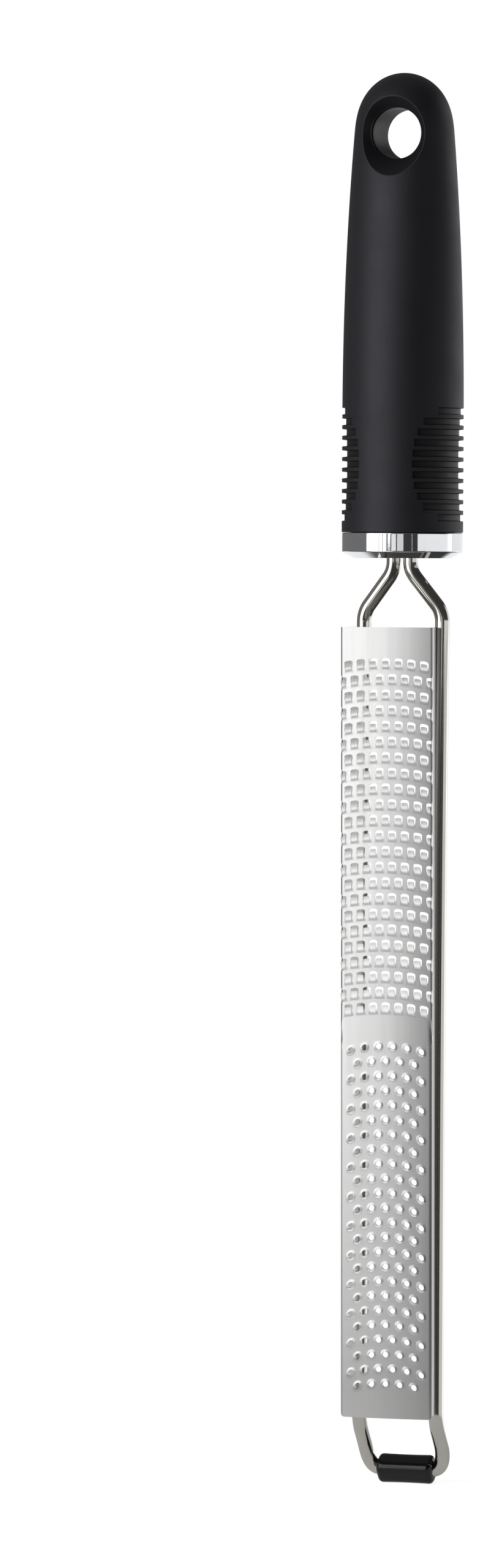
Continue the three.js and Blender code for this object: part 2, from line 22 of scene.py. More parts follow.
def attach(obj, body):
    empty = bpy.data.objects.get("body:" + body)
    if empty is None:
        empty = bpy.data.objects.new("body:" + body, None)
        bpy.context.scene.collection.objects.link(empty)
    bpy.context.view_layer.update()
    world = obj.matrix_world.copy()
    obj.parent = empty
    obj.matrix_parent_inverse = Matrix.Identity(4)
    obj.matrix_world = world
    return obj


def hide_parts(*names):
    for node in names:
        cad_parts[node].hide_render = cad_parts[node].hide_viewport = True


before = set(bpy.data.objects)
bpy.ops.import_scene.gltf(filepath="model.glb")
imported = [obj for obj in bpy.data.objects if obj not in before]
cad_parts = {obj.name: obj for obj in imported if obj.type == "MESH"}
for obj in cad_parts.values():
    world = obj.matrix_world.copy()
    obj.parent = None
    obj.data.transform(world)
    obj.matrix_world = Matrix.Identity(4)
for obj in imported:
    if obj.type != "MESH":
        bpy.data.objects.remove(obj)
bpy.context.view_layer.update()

LOG = logging.getLogger("rasp")
# Blender's metres in a millimetre
MM = 0.001
# Points of a piece that are closer than this, in mm, are merged
WELD_MM = 0.002
# Places on the blade's flat pattern are merged on a grid of this many steps per mm. The shift keeps
# common places off the middle between two steps.
PATTERN_STEPS_PER_MM = 1e4
PATTERN_SHIFT = 0.137
# Angle between faces above which an edge stays sharp, unless a piece has its own
SHARP_DEGREES = 30.0
# Keeps a divisor away from zero
TINY = 1e-9
# Span that holds nearly all values of a noise
NOISE_LOW = 0.3
NOISE_HIGH = 0.7
# Sockets of a colour mix: its two colours and its result
MIX_FIRST = 6
MIX_SECOND = 7
MIX_RESULT = 2
# Depth along Y of a layer under the dished rim, per its thickness, taken for a slope of 45 degrees
DISH_SLANT = math.sqrt(2.0)
# Half the distance between the rod's two ends in the handle, and the radius of the slot's ends, in mm
ROD_END_HALF_SPACING = 2.375
SLOT_RADIUS = 2.3
# Height of the collar's upper edge in mm
COLLAR_TOP = -108.6
# Power by which the rods' setback and the flanges' edges fade out down the blade
FADE_POWER = 3

Array = np.ndarray
Triple = tuple[float, float, float]
# Front points, back points and quads of a stretch of the blade's flat pattern
Cell = tuple[Array, Array, Array]
Socket = bpy.types.NodeSocket


class MaterialSlot(Enum):
    """Names of the material slots."""

    SOFT_GRIP = "soft_grip"
    CORE_PLASTIC = "core_plastic"
    COLLAR_CHROME = "collar_chrome"
    ROD_STEEL = "rod_steel"
    BLADE_STEEL = "blade_steel"
    FOOT_RUBBER = "foot_rubber"


class Side(Enum):
    """Front or back of the handle, as the sign of Y."""

    FRONT = -1
    BACK = 1


# Numbers and curves


def linear(hex_colour: str) -> tuple[float, float, float, float]:
    """Turn an sRGB colour into Blender's linear one.

    Args:
        hex_colour: Six hex digits after a hash sign.

    Returns:
        Linear red, green, blue and full opacity.
    """
    channels = [int(hex_colour[i : i + 2], 16) / 255 for i in (1, 3, 5)]
    shades = [c / 12.92 if c <= 0.04045 else ((c + 0.055) / 1.055) ** 2.4 for c in channels]
    return (shades[0], shades[1], shades[2], 1.0)


def smooth_step(value: Array) -> Array:
    """Ease from 0 to 1 with level ends.

    Args:
        value: Share of the way, clipped to 0..1.

    Returns:
        Eased share, 3t^2 - 2t^3.
    """
    share = np.clip(value, 0.0, 1.0)
    return share * share * (3.0 - 2.0 * share)


def soft_minimum(first: Array, second: Array, rounding: float) -> Array:
    """Take the smaller of two heights with a rounded crossing.

    Args:
        first: One height.
        second: The other height.
        rounding: Difference of height over which the two blend.

    Returns:
        The smaller height, less a small parabola where they cross.
    """
    share = np.clip(0.5 + 0.5 * (second - first) / rounding, 0.0, 1.0)
    return second + (first - second) * share - rounding * share * (1.0 - share)


def halve(inside: Callable[[Array], Array], low: Array, high: Array, steps: int = 48) -> Array:
    """Find where a condition stops holding, by halving.

    Args:
        inside: Condition that holds at low and not at high.
        low: Start of each span.
        high: End of each span.
        steps: Number of halvings.

    Returns:
        The last value at which the condition holds.
    """
    for _ in range(steps):
        middle = 0.5 * (low + high)
        holds = inside(middle)
        low = np.where(holds, middle, low)
        high = np.where(holds, high, middle)
    return low


def turned_ring(radius: float, z: float, angles: Array) -> Array:
    """Place a level ring round the Z axis.

    Args:
        radius: Radius in mm.
        z: Height in mm.
        angles: Angles from -Y towards +X.

    Returns:
        Points, one row each.
    """
    heights = np.full_like(angles, z)
    return np.stack([radius * np.sin(angles), -radius * np.cos(angles), heights], axis=-1)


def slot_outline(half_spacing: float, radius: float, z: float, angles: Array) -> Array:
    """Outline of a slot with round ends along X.

    Args:
        half_spacing: Half the distance between the ends' centres in mm.
        radius: Radius of the ends in mm.
        z: Height in mm.
        angles: Angles from -Y towards +X.

    Returns:
        Points where rays at these angles meet the straight sides or the round ends.
    """
    across, along = np.abs(np.sin(angles)), np.abs(np.cos(angles))
    to_side = radius / np.maximum(along, TINY)
    to_end = half_spacing * across + np.sqrt(np.maximum(radius**2 - (half_spacing * along) ** 2, 0.0))
    reach = np.where(to_side * across <= half_spacing, to_side, to_end)
    return np.stack([reach * np.sin(angles), -reach * np.cos(angles), np.full_like(angles, z)], axis=-1)


def rounded_profile(corners: list[Triple], steps: int = 5, hold: float = 0.06) -> Array:
    """Round the corners of a profile and keep its straights flat.

    Each corner becomes an arc that touches both straights, and a point just before and after it holds
    the straights flat under smooth shading.

    Args:
        corners: Place across, place along and rounding radius of each corner, in order.
        steps: Steps in each arc.
        hold: Distance of the holding points from the arc in mm.

    Returns:
        Points of the profile, two numbers each.
    """
    places = np.array([corner[:2] for corner in corners])
    radii = [corner[2] for corner in corners[1:]]
    points = [places[0]]
    for before, corner, after, radius in zip(places, places[1:], places[2:], radii):
        arriving = (corner - before) / np.linalg.norm(corner - before)
        leaving = (after - corner) / np.linalg.norm(after - corner)
        turn = math.acos(float(np.clip(arriving @ leaving, -1.0, 1.0)))
        trim = radius * math.tan(turn / 2)
        start = corner - trim * arriving
        side = leaving - (leaving @ arriving) * arriving
        side /= np.linalg.norm(side)
        angles = np.linspace(0.0, turn, steps + 1)[:, None]
        arc = start + radius * np.sin(angles) * arriving + radius * (1.0 - np.cos(angles)) * side
        points += [start - hold * arriving, *arc, arc[-1] + hold * leaving]
    points.append(places[-1])
    return np.array(points)


# Meshes


@dataclass
class Shell:
    """Closed surface of one piece, gathered patch by patch."""

    points: list[Array] = field(default_factory=list)
    quads: list[Array] = field(default_factory=list)
    finishes: list[Array] = field(default_factory=list)
    count: int = 0

    def add(self, points: Array, quads: Array, finish: Array | int = 0) -> None:
        """Add loose points and the quads among them.

        Args:
            points: Points in mm, one row each.
            quads: Corner numbers, four a row.
            finish: Number of the finish of each quad, or of all of them.
        """
        self.points.append(points)
        self.quads.append(quads + self.count)
        self.finishes.append(np.broadcast_to(finish, len(quads)))
        self.count += len(points)

    def add_grid(self, grid: Array, finish: Array | int = 0) -> None:
        """Add a grid of points whose last column joins the first.

        Args:
            grid: Points in mm, by row and column.
            finish: Number of the finish of each quad by row and column, or of all of them.
        """
        rows, columns = grid.shape[:2]
        row, column = np.meshgrid(np.arange(rows - 1), np.arange(columns), indexing="ij")
        following = (column + 1) % columns
        corners = [
            row * columns + column,
            row * columns + following,
            (row + 1) * columns + following,
            (row + 1) * columns + column,
        ]
        self.add(grid.reshape(-1, 3), np.stack(corners, axis=-1).reshape(-1, 4), np.ravel(finish))

    def mesh(self, name: str, sharp_degrees: float) -> bpy.types.Mesh:
        """Weld the patches into one smooth mesh with outward faces.

        Args:
            name: Name of the mesh.
            sharp_degrees: Angle between faces above which an edge stays sharp.

        Returns:
            The mesh in metres.
        """
        mesh = bpy.data.meshes.new(name)
        points = np.concatenate(self.points) * MM
        mesh.from_pydata(points.tolist(), [], np.concatenate(self.quads).tolist())
        mesh.polygons.foreach_set("material_index", np.concatenate(self.finishes).astype(np.int32))
        editable = bmesh.new()
        editable.from_mesh(mesh)
        bmesh.ops.remove_doubles(editable, verts=editable.verts, dist=WELD_MM * MM)
        bmesh.ops.recalc_face_normals(editable, faces=editable.faces)
        editable.to_mesh(mesh)
        editable.free()
        mesh.polygons.foreach_set("use_smooth", np.ones(len(mesh.polygons), dtype=bool))
        mesh.set_sharp_from_angle(angle=math.radians(sharp_degrees))
        return mesh


def place_piece(
    shell: Shell,
    node: str,
    finishes: list[Finish],
    sharp_degrees: float = SHARP_DEGREES,
) -> bpy.types.Object:
    """Put a piece into the scene in place of a CAD node.

    Args:
        shell: Closed surface of the piece.
        node: Name of the CAD node that the piece stands for.
        finishes: Finishes of the piece, in the order of the shell's numbers.
        sharp_degrees: Angle between faces above which an edge stays sharp.

    Returns:
        The new object.
    """
    mesh = shell.mesh(f"{node}_skin", sharp_degrees)
    for finish in finishes:
        mesh.materials.append(finish.material())
    piece = bpy.data.objects.new(f"{node}_skin", mesh)
    bpy.context.scene.collection.objects.link(piece)
    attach(piece, "root")
    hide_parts(node)
    return piece


# Finishes


def add_node(
    tree: bpy.types.NodeTree, kind: str, inputs: dict[str | int, Any] | None = None, **settings: Any
) -> bpy.types.Node:
    """Add a node, set it up and wire its inputs.

    Args:
        tree: Tree that gets the node.
        kind: Blender's name of the node type.
        inputs: Values or output sockets by input name or number.
        settings: Attributes of the node.

    Returns:
        The new node.
    """
    node = tree.nodes.new(kind)
    for name, value in settings.items():
        setattr(node, name, value)
    for key, value in (inputs or {}).items():
        if isinstance(value, Socket):
            tree.links.new(value, node.inputs[key])
        else:
            node.inputs[key].default_value = value
    return node


def cleared_tree(owner: bpy.types.Material | bpy.types.World) -> bpy.types.NodeTree:
    """Switch a material or a world to an empty node tree.

    Args:
        owner: Material or world.

    Returns:
        Its tree, without nodes.
    """
    owner.use_nodes = True
    owner.node_tree.nodes.clear()
    return owner.node_tree


@dataclass(frozen=True)
class Finish:
    """Procedural finish with a grain in the surface, with the sizes of its pattern in mm."""

    name: str
    colour: str
    second_colour: str
    roughness: float
    roughness_spread: float
    patch_size: Triple
    grain_size: Triple
    grain_depth: float
    metallic: float = 0.0
    brushed: float = 0.0
    specular: float = 0.5
    sheen_colour: str = "#ffffff"
    patch_detail: float = 2.0
    grain_detail: float = 1.0

    def scaled_noise(self, tree: bpy.types.NodeTree, size: Triple, detail: float) -> Socket:
        """Add noise whose spots have a real size.

        Args:
            tree: Tree of the material.
            size: Size of a spot along each axis in mm.
            detail: Octaves of finer noise.

        Returns:
            Output with the noise's value.
        """
        place = add_node(tree, "ShaderNodeTexCoord").outputs["Object"]
        scale = [1.0 / (length * MM) for length in size]
        mapped = add_node(tree, "ShaderNodeMapping", {"Vector": place, "Scale": scale})
        inputs = {"Vector": mapped.outputs[0], "Scale": 1.0, "Detail": detail}
        return add_node(tree, "ShaderNodeTexNoise", inputs).outputs[0]

    def material(self) -> bpy.types.Material:
        """Build the material.

        Returns:
            The material, with colour and gloss that vary in soft patches and a fine grain. A brushed
            one spreads its reflections along the level direction in the surface.
        """
        material = bpy.data.materials.new(self.name)
        tree = cleared_tree(material)
        patches = self.scaled_noise(tree, self.patch_size, self.patch_detail)
        grain = self.scaled_noise(tree, self.grain_size, self.grain_detail)
        colours = {0: patches, MIX_FIRST: linear(self.colour), MIX_SECOND: linear(self.second_colour)}
        colour = add_node(tree, "ShaderNodeMix", colours, data_type="RGBA")
        gloss = add_node(
            tree,
            "ShaderNodeMapRange",
            {
                "Value": patches,
                "From Min": NOISE_LOW,
                "From Max": NOISE_HIGH,
                "To Min": self.roughness - self.roughness_spread,
                "To Max": self.roughness + self.roughness_spread,
            },
        )
        relief = {"Height": grain, "Strength": 1.0, "Distance": self.grain_depth * MM}
        bump = add_node(tree, "ShaderNodeBump", relief)
        normal = add_node(tree, "ShaderNodeNewGeometry").outputs["Normal"]
        level = add_node(
            tree, "ShaderNodeVectorMath", {0: (0.0, 0.0, 1.0), 1: normal}, operation="CROSS_PRODUCT"
        )
        shader = add_node(
            tree,
            "ShaderNodeBsdfPrincipled",
            {
                "Base Color": colour.outputs[MIX_RESULT],
                "Roughness": gloss.outputs[0],
                "Metallic": self.metallic,
                "Specular IOR Level": self.specular,
                "Specular Tint": linear(self.sheen_colour),
                "Anisotropic": self.brushed,
                "Tangent": level.outputs[0],
                "Normal": bump.outputs[0],
            },
        )
        add_node(tree, "ShaderNodeOutputMaterial", {"Surface": shader.outputs[0]})
        return material


# Soft black elastomer: matte, near black, with a faint bluish sheen where a softbox lies
SOFT_ELASTOMER = Finish(
    "soft_elastomer",
    "#16161a",
    "#1a1a1f",
    roughness=0.54,
    roughness_spread=0.03,
    patch_size=(9.0, 9.0, 9.0),
    grain_size=(0.35, 0.35, 0.35),
    grain_depth=0.01,
    specular=0.65,
    sheen_colour="#f4f4ff",
)
# The same elastomer in the grooves, painted darker and with less sheen: painted shade in the recesses
GROOVE_SHADE_ELASTOMER = Finish(
    "groove_elastomer_painted_shade",
    "#101012",
    "#131316",
    roughness=0.5,
    roughness_spread=0.03,
    patch_size=(9.0, 9.0, 9.0),
    grain_size=(0.35, 0.35, 0.35),
    grain_depth=0.01,
    specular=0.4,
)
# Hard black plastic: satin, so that the bore's wall only shows soft patches of light
SATIN_PLASTIC = Finish(
    "black_satin_plastic",
    "#19191b",
    "#1e1e20",
    roughness=0.5,
    roughness_spread=0.03,
    patch_size=(6.0, 6.0, 6.0),
    grain_size=(0.8, 0.8, 0.8),
    grain_depth=0.002,
    specular=0.25,
)
# Polished chrome: a clear mirror, only slightly softened
CHROME = Finish(
    "polished_chrome",
    "#e4e5e7",
    "#dcdde0",
    roughness=0.05,
    roughness_spread=0.01,
    patch_size=(7.0, 7.0, 7.0),
    grain_size=(0.6, 0.6, 0.6),
    grain_depth=0.0004,
    metallic=1.0,
)
# Polished stainless rod: bright with slightly soft reflections and a warm cast
POLISHED_STEEL = Finish(
    "polished_stainless",
    "#d8d5cf",
    "#d0cdc7",
    roughness=0.1,
    roughness_spread=0.02,
    patch_size=(3.0, 3.0, 14.0),
    grain_size=(0.4, 0.4, 4.0),
    grain_depth=0.0003,
    metallic=1.0,
)
# Brushed stainless sheet: its fine grain along the blade spreads reflections sideways
BRUSHED_STEEL = Finish(
    "brushed_stainless",
    "#d6d6d5",
    "#cecece",
    roughness=0.3,
    roughness_spread=0.02,
    patch_size=(2.0, 2.0, 40.0),
    grain_size=(0.3, 0.3, 12.0),
    grain_depth=0.0004,
    metallic=1.0,
    brushed=0.5,
)
# Unpolished inside of the sheet: duller, seen through the openings, and a little lighter than the front as
# painted light in the shaded channel
DULL_LIGHTENED_STEEL = Finish(
    "dull_stainless_painted_light",
    "#dcdcd8",
    "#d2d2ce",
    roughness=0.5,
    roughness_spread=0.04,
    patch_size=(2.0, 2.0, 30.0),
    grain_size=(0.3, 0.3, 12.0),
    grain_depth=0.0006,
    metallic=1.0,
)
# Black rubber: dark and fairly glossy, with one soft highlight
GLOSS_RUBBER = Finish(
    "black_rubber",
    "#070708",
    "#0a0a0c",
    roughness=0.14,
    roughness_spread=0.03,
    patch_size=(4.0, 4.0, 4.0),
    grain_size=(0.4, 0.4, 0.4),
    grain_depth=0.001,
    specular=0.48,
)


# Handle


@dataclass(frozen=True)
class HandleForm:
    """Outer form of the handle, round at the collar and flat and domed at the bore."""

    top: float = 16.7
    bottom: float = -108.5
    radius: float = 16.57
    taper_start: float = -80.5
    half_width_at_bore: float = 13.8
    half_depth_at_top: float = 11.9
    width_power: float = 2.4
    dome_width_power: float = 2.7
    dome_depth_power: float = 3.0
    bore_radius: float = 6.9
    bore_half_length: float = 7.0
    dish_slope: float = 1.2

    def section(self, z: Array, inset: float) -> tuple[Array, Array]:
        """Work out the oval section at a height.

        The half-width falls from the radius by a power of the rise above the taper's start, the
        half-depth by half a cosine wave, and both close in the dome by the root of one less a power
        of the height above the bore.

        Args:
            z: Heights in mm.
            inset: Depth below the outer form.

        Returns:
            Half-width and half-depth.
        """
        rise = np.maximum(0.0, z - self.taper_start)
        width_share = (rise / -self.taper_start) ** self.width_power
        depth_share = 0.5 - 0.5 * np.cos(np.pi * rise / (self.top - self.taper_start))
        width = self.radius - (self.radius - self.half_width_at_bore) * width_share
        depth = self.radius - (self.radius - self.half_depth_at_top) * depth_share
        height = np.clip(z / (self.top - inset), 0.0, 1.0)
        width_closing = np.sqrt(1.0 - height**self.dome_width_power)
        depth_closing = np.sqrt(1.0 - height**self.dome_depth_power)
        return (width - inset) * width_closing, (depth - inset) * depth_closing

    def half_thickness(self, x: Array, z: Array, inset: float) -> Array:
        """Work out how far the form reaches along Y.

        Args:
            x: Places across in mm.
            z: Heights in mm.
            inset: Depth below the outer form.

        Returns:
            Half-depth of the oval section at that place across.
        """
        half_width, half_depth = self.section(z, inset)
        share = np.clip(x / np.maximum(half_width, TINY), -1.0, 1.0)
        return half_depth * np.sqrt(1.0 - share**2)

    def dish(self, radius: Array, sink: float) -> Array:
        """Work out the cone of the dished rim.

        Args:
            radius: Distances from the bore's axis in mm.
            sink: How far the cone lies below the rim's surface along Y.

        Returns:
            Distance of the cone from the handle's middle plane.
        """
        return self.bore_half_length - sink + (radius - self.bore_radius) * self.dish_slope


@dataclass(frozen=True)
class HandleSkin:
    """One skin of the handle: its dished eye and the columns below it."""

    form: HandleForm
    inset: float
    sink: float
    eye_radius: float
    rim_rounding: float = 0.3
    cut: float = -22.0
    front_columns: int = 80
    dome_columns: int = 128
    dish_steps: int = 5
    rim_steps: int = 8
    form_steps: int = 16
    plain_rows: int = 18

    def columns(self) -> Array:
        """Angles of the columns below the eye, from -X over the front and round the back."""
        return -np.pi / 2 + np.pi * np.arange(2 * self.front_columns) / self.front_columns

    def shifted_columns(self, line: int, places: Array, step: Array) -> Array:
        """Angles of the columns with one line of them, in each quarter, moved to a given place.

        Args:
            line: Number of the moved line, counted from the X axis.
            places: Angle of that line from the X axis in each row.
            step: Angle between that line and the one before it in each row.

        Returns:
            Angles by row and column.
        """
        angles = self.columns()
        from_side = np.arctan2(np.abs(np.cos(angles)), np.abs(np.sin(angles)))
        pitch = np.pi / self.front_columns
        known = [0.0, (line - 1) * pitch, line * pitch, np.pi / 2]
        moved = [np.interp(from_side, known, [0.0, p - s, p, np.pi / 2]) for p, s in zip(places, step)]
        across = np.sign(np.round(np.sin(angles), 9)) * np.cos(moved)
        along = np.sign(np.round(np.cos(angles), 9)) * np.sin(moved)
        return np.arctan2(across, along)

    def rays(self) -> tuple[Array, Array]:
        """Directions from the bore's axis to the skin's outline.

        Returns:
            Angles from +X to +Z, and how far each ray runs to the outline or to the cut below the eye.
        """
        half_width, _ = self.form.section(np.array(self.cut), self.inset)
        below = np.arctan2(self.cut, half_width * np.sin(self.columns()[: self.front_columns + 1]))
        dome = np.linspace(below[-1], below[0] + 2 * np.pi, self.dome_columns + 1)[1:-1]
        below_reach = self.cut / np.sin(below)

        def within(reach: Array) -> Array:
            """Whether the end of each ray of the dome lies inside the outline."""
            width, _ = self.form.section(reach * np.sin(dome), self.inset)
            return np.abs(reach * np.cos(dome)) < width

        start = np.full_like(dome, self.eye_radius)
        dome_reach = halve(within, start, np.full_like(dome, -2.0 * self.cut))
        return np.concatenate([below, dome]), np.concatenate([below_reach, dome_reach])

    def eye(self, side: Side) -> Array:
        """Grid of the dished eye on one side of the handle.

        Each ray runs from the bore through the dish and its rounded rim to the outline. The height is
        the softened smaller one of the oval form and the dish's cone.

        Args:
            side: Front or back.

        Returns:
            Points by ring and ray.
        """
        angles, reach = self.rays()
        across, up = np.cos(angles), np.sin(angles)

        def in_dish(radius: Array) -> Array:
            """Whether the dish's cone lies below the form there."""
            form = self.form.half_thickness(radius * across, radius * up, self.inset)
            return form > self.form.dish(radius, self.sink)

        rim = halve(in_dish, np.full_like(reach, self.eye_radius), reach)
        inner_rim = np.maximum(rim - self.rim_rounding, self.eye_radius)
        outer_rim = np.minimum(rim + self.rim_rounding, reach)
        dish_share = np.linspace(0.0, 1.0, self.dish_steps + 1)[:-1, None]
        rim_share = np.linspace(0.0, 1.0, self.rim_steps + 1)[:-1, None]
        form_share = np.sin(np.linspace(0.0, np.pi / 2, self.form_steps + 1))[:, None]
        radius = np.concatenate(
            [
                self.eye_radius + (inner_rim - self.eye_radius) * dish_share,
                inner_rim + (outer_rim - inner_rim) * rim_share,
                outer_rim + (reach - outer_rim) * form_share,
            ]
        )
        x, z = radius * across, radius * up
        form = self.form.half_thickness(x, z, self.inset)
        height = soft_minimum(form, self.form.dish(radius, self.sink), self.rim_rounding)
        on_outline = np.arange(len(angles)) > self.front_columns
        height[-1, on_outline] = 0.0
        return np.stack([x, side.value * height, z], axis=-1)

    def barrel(self, heights: Array, angles: Array | None = None) -> Array:
        """Grid of the oval sections below the eye.

        Args:
            heights: Heights in mm from the cut down.
            angles: Angles by row and column, where they differ from the plain columns.

        Returns:
            Points by height and column.
        """
        half_width, half_depth = self.form.section(heights, self.inset)
        angles = self.columns() if angles is None else angles
        x = half_width[:, None] * np.sin(angles)
        y = -half_depth[:, None] * np.cos(angles)
        return np.stack([x, y, np.broadcast_to(heights[:, None], x.shape)], axis=-1)


@dataclass(frozen=True)
class Grip:
    """Soft skin moulded over the core, with a field of cross ribs on each side."""

    form: HandleForm = HandleForm()
    skin: float = 3.0
    dish_skin: float = 1.3
    eye_radius: float = 7.22
    rib_pitch: float = 2.9
    groove_height: float = 1.9
    groove_wall: float = 0.2
    groove_rows: tuple[float, ...] = (2.5, 1.0, 0.75, 0.5, 0.25, 0.0)
    crest_row: float = 0.35
    field_middle: float = -90.0
    field_half_height: float = 15.8
    field_depth: float = 1.5
    field_spread: float = 0.47
    field_step: float = 0.8
    field_margin: float = 0.4
    end_wall: float = 0.25
    edge_rounding: float = 0.25
    edge_hold: float = 0.06
    edge_steps: int = 5
    boundary_column: int = 21
    boundary_run: float = 16.0
    boundary_below: tuple[float, float] = (0.8, 0.2)
    rows_above: int = 36
    rows_below: int = 4

    def rib_heights(self) -> tuple[Array, Array]:
        """Heights of the rows that follow the grooves' walls.

        Each half of a groove has a row in its middle, rows some wall widths inside its edge, and one
        a share of the way from its edge to the rib's middle.

        Returns:
            Heights from the top of the rib field down, and the middle of each row's groove.
        """
        grooves = int(self.field_half_height / self.rib_pitch)
        middles = self.field_middle + self.rib_pitch * np.arange(grooves, -grooves - 1, -1)
        edge = self.groove_height / 2
        crest = (self.rib_pitch - self.groove_height) / 2
        inside = edge - self.groove_wall * np.array(self.groove_rows)
        half = np.concatenate([[0.0], inside, [edge + self.crest_row * crest]])
        offsets = np.concatenate([half[::-1], -half[1:]])
        heights = (middles[:, None] + offsets).ravel()
        return heights, np.repeat(middles, len(offsets))

    def floor_oval(self, heights: Array, middles: Array) -> tuple[Array, Array]:
        """Half-width and half-depth of the oval on which a groove's floor lies.

        The oval is narrower than the handle by a parabola over the field's height and a little deeper,
        so that it only cuts the sides.

        Args:
            heights: Heights in mm.
            middles: Middle of the groove that each height belongs to.

        Returns:
            Half-width and half-depth at each height.
        """
        half_width, half_depth = self.form.section(heights, 0.0)
        field_share = 1.0 - ((middles - self.field_middle) / self.field_half_height) ** 2
        return half_width - self.field_depth * field_share, half_depth + self.field_spread

    def field_limit(self, middles: Array) -> Array:
        """Angle from the X axis at which a groove ends, where its floor's oval crosses the handle's.

        Args:
            middles: Middle of each groove.

        Returns:
            Angle at each middle.
        """
        half_width, half_depth = self.form.section(middles, 0.0)
        floor_width, floor_depth = self.floor_oval(middles, middles)
        narrower = floor_width**-2 - half_width**-2
        deeper = half_depth**-2 - floor_depth**-2
        return np.arctan(np.sqrt(narrower / deeper))

    def grooved(self, barrel: Array, heights: Array, middles: Array, angles: Array) -> Array:
        """Sink the grooves into rows of the barrel.

        A groove starts with a short steep wall at the field's limit, and then deepens to its oval.

        Args:
            barrel: Points by height and column.
            heights: Height of each row.
            middles: Middle of the groove that each row belongs to.
            angles: Angles by row and column.

        Returns:
            Points with the grooves cut.
        """
        floor_width, floor_depth = self.floor_oval(heights, middles)
        out = np.hypot(barrel[..., 0], barrel[..., 1])
        across = barrel[..., 0] / out
        along = barrel[..., 1] / out
        floor = 1.0 / np.hypot(across / floor_width[:, None], along / floor_depth[:, None])
        from_side = np.arctan2(np.abs(np.cos(angles)), np.abs(np.sin(angles)))
        inside = (self.field_limit(middles)[:, None] - from_side) * self.form.radius / self.end_wall
        smooth_depth = np.maximum(0.0, out - floor) * (1.0 - self.field_step / self.field_depth)
        depth = self.field_step * smooth_step(inside) + smooth_depth
        edge = self.groove_height / 2
        share = smooth_step((edge - np.abs(heights - middles)) / self.groove_wall)
        sunk = out - depth * share[:, None]
        return np.stack([across * sunk, along * sunk, barrel[..., 2]], axis=-1)

    def outside(self, outer: HandleSkin) -> tuple[Array, Array]:
        """Rows of the skin from the eye's cut to the lower edge.

        One line of columns bends to follow the field's limit, and eases back above and below it.

        Args:
            outer: Plain outer skin.

        Returns:
            Points by row and column, and which of them lie in a groove.
        """
        form, rounding = self.form, self.edge_rounding
        rib_heights, middles = self.rib_heights()
        field_top = rib_heights[0] + self.field_margin
        field_bottom = rib_heights[-1] - self.field_margin
        above = np.linspace(outer.cut, field_top, self.rows_above)
        below = np.linspace(field_bottom, form.bottom + rounding + self.edge_hold, self.rows_below)
        limit = self.field_limit(middles)
        pitch = np.pi / outer.front_columns
        wall = self.end_wall / form.radius
        nearness = np.concatenate(
            [
                smooth_step(1.0 - (above - rib_heights[0]) / self.boundary_run),
                np.ones_like(rib_heights),
                np.linspace(*self.boundary_below, self.rows_below),
            ]
        )
        limits = np.concatenate([np.full_like(above, limit[0]), limit, np.full_like(below, limit[-1])])
        plain_place = self.boundary_column * pitch
        places = plain_place + (limits - plain_place) * nearness
        steps = pitch + (wall - pitch) * nearness
        angles = outer.shifted_columns(self.boundary_column, places, steps)
        rows = outer.barrel(np.concatenate([above, rib_heights, below]), angles)
        ribs = slice(len(above), len(above) + len(rib_heights))
        plain_rows = rows.copy()
        rows[ribs] = self.grooved(rows[ribs], rib_heights, middles, angles[ribs])
        in_groove = np.linalg.norm(rows - plain_rows, axis=-1) > self.groove_wall
        turn = np.linspace(0.0, np.pi / 2, self.edge_steps + 1)
        radii = form.radius - rounding * (1.0 - np.cos(turn))
        drop = form.bottom + rounding * (1.0 - np.sin(turn))
        edge = np.stack([turned_ring(r, z, outer.columns()) for r, z in zip(radii, drop)])
        no_groove = np.zeros(edge.shape[:2], dtype=bool)
        return np.concatenate([rows, edge]), np.concatenate([in_groove, no_groove])

    def build(self) -> bpy.types.Object:
        """Build the grip.

        Returns:
            The grip's object.
        """
        form = self.form
        outer = HandleSkin(form, 0.0, 0.0, self.eye_radius)
        inner = HandleSkin(form, self.skin, self.dish_skin * DISH_SLANT, self.eye_radius)
        inside = inner.barrel(np.linspace(form.bottom, inner.cut, inner.plain_rows))
        shell = Shell()
        outside, in_groove = self.outside(outer)
        # Quads in the grooves take the second finish, which is painted shade
        shell.add_grid(outside, in_groove[:-1] & in_groove[1:])
        shell.add_grid(np.concatenate([outside[-1:], inside]))
        for side in Side:
            outer_eye = outer.eye(side)
            inner_eye = inner.eye(side)
            shell.add_grid(outer_eye)
            shell.add_grid(inner_eye)
            shell.add_grid(np.stack([outer_eye[0], inner_eye[0]]))
        return place_piece(shell, "grip", [SOFT_ELASTOMER, GROOVE_SHADE_ELASTOMER])


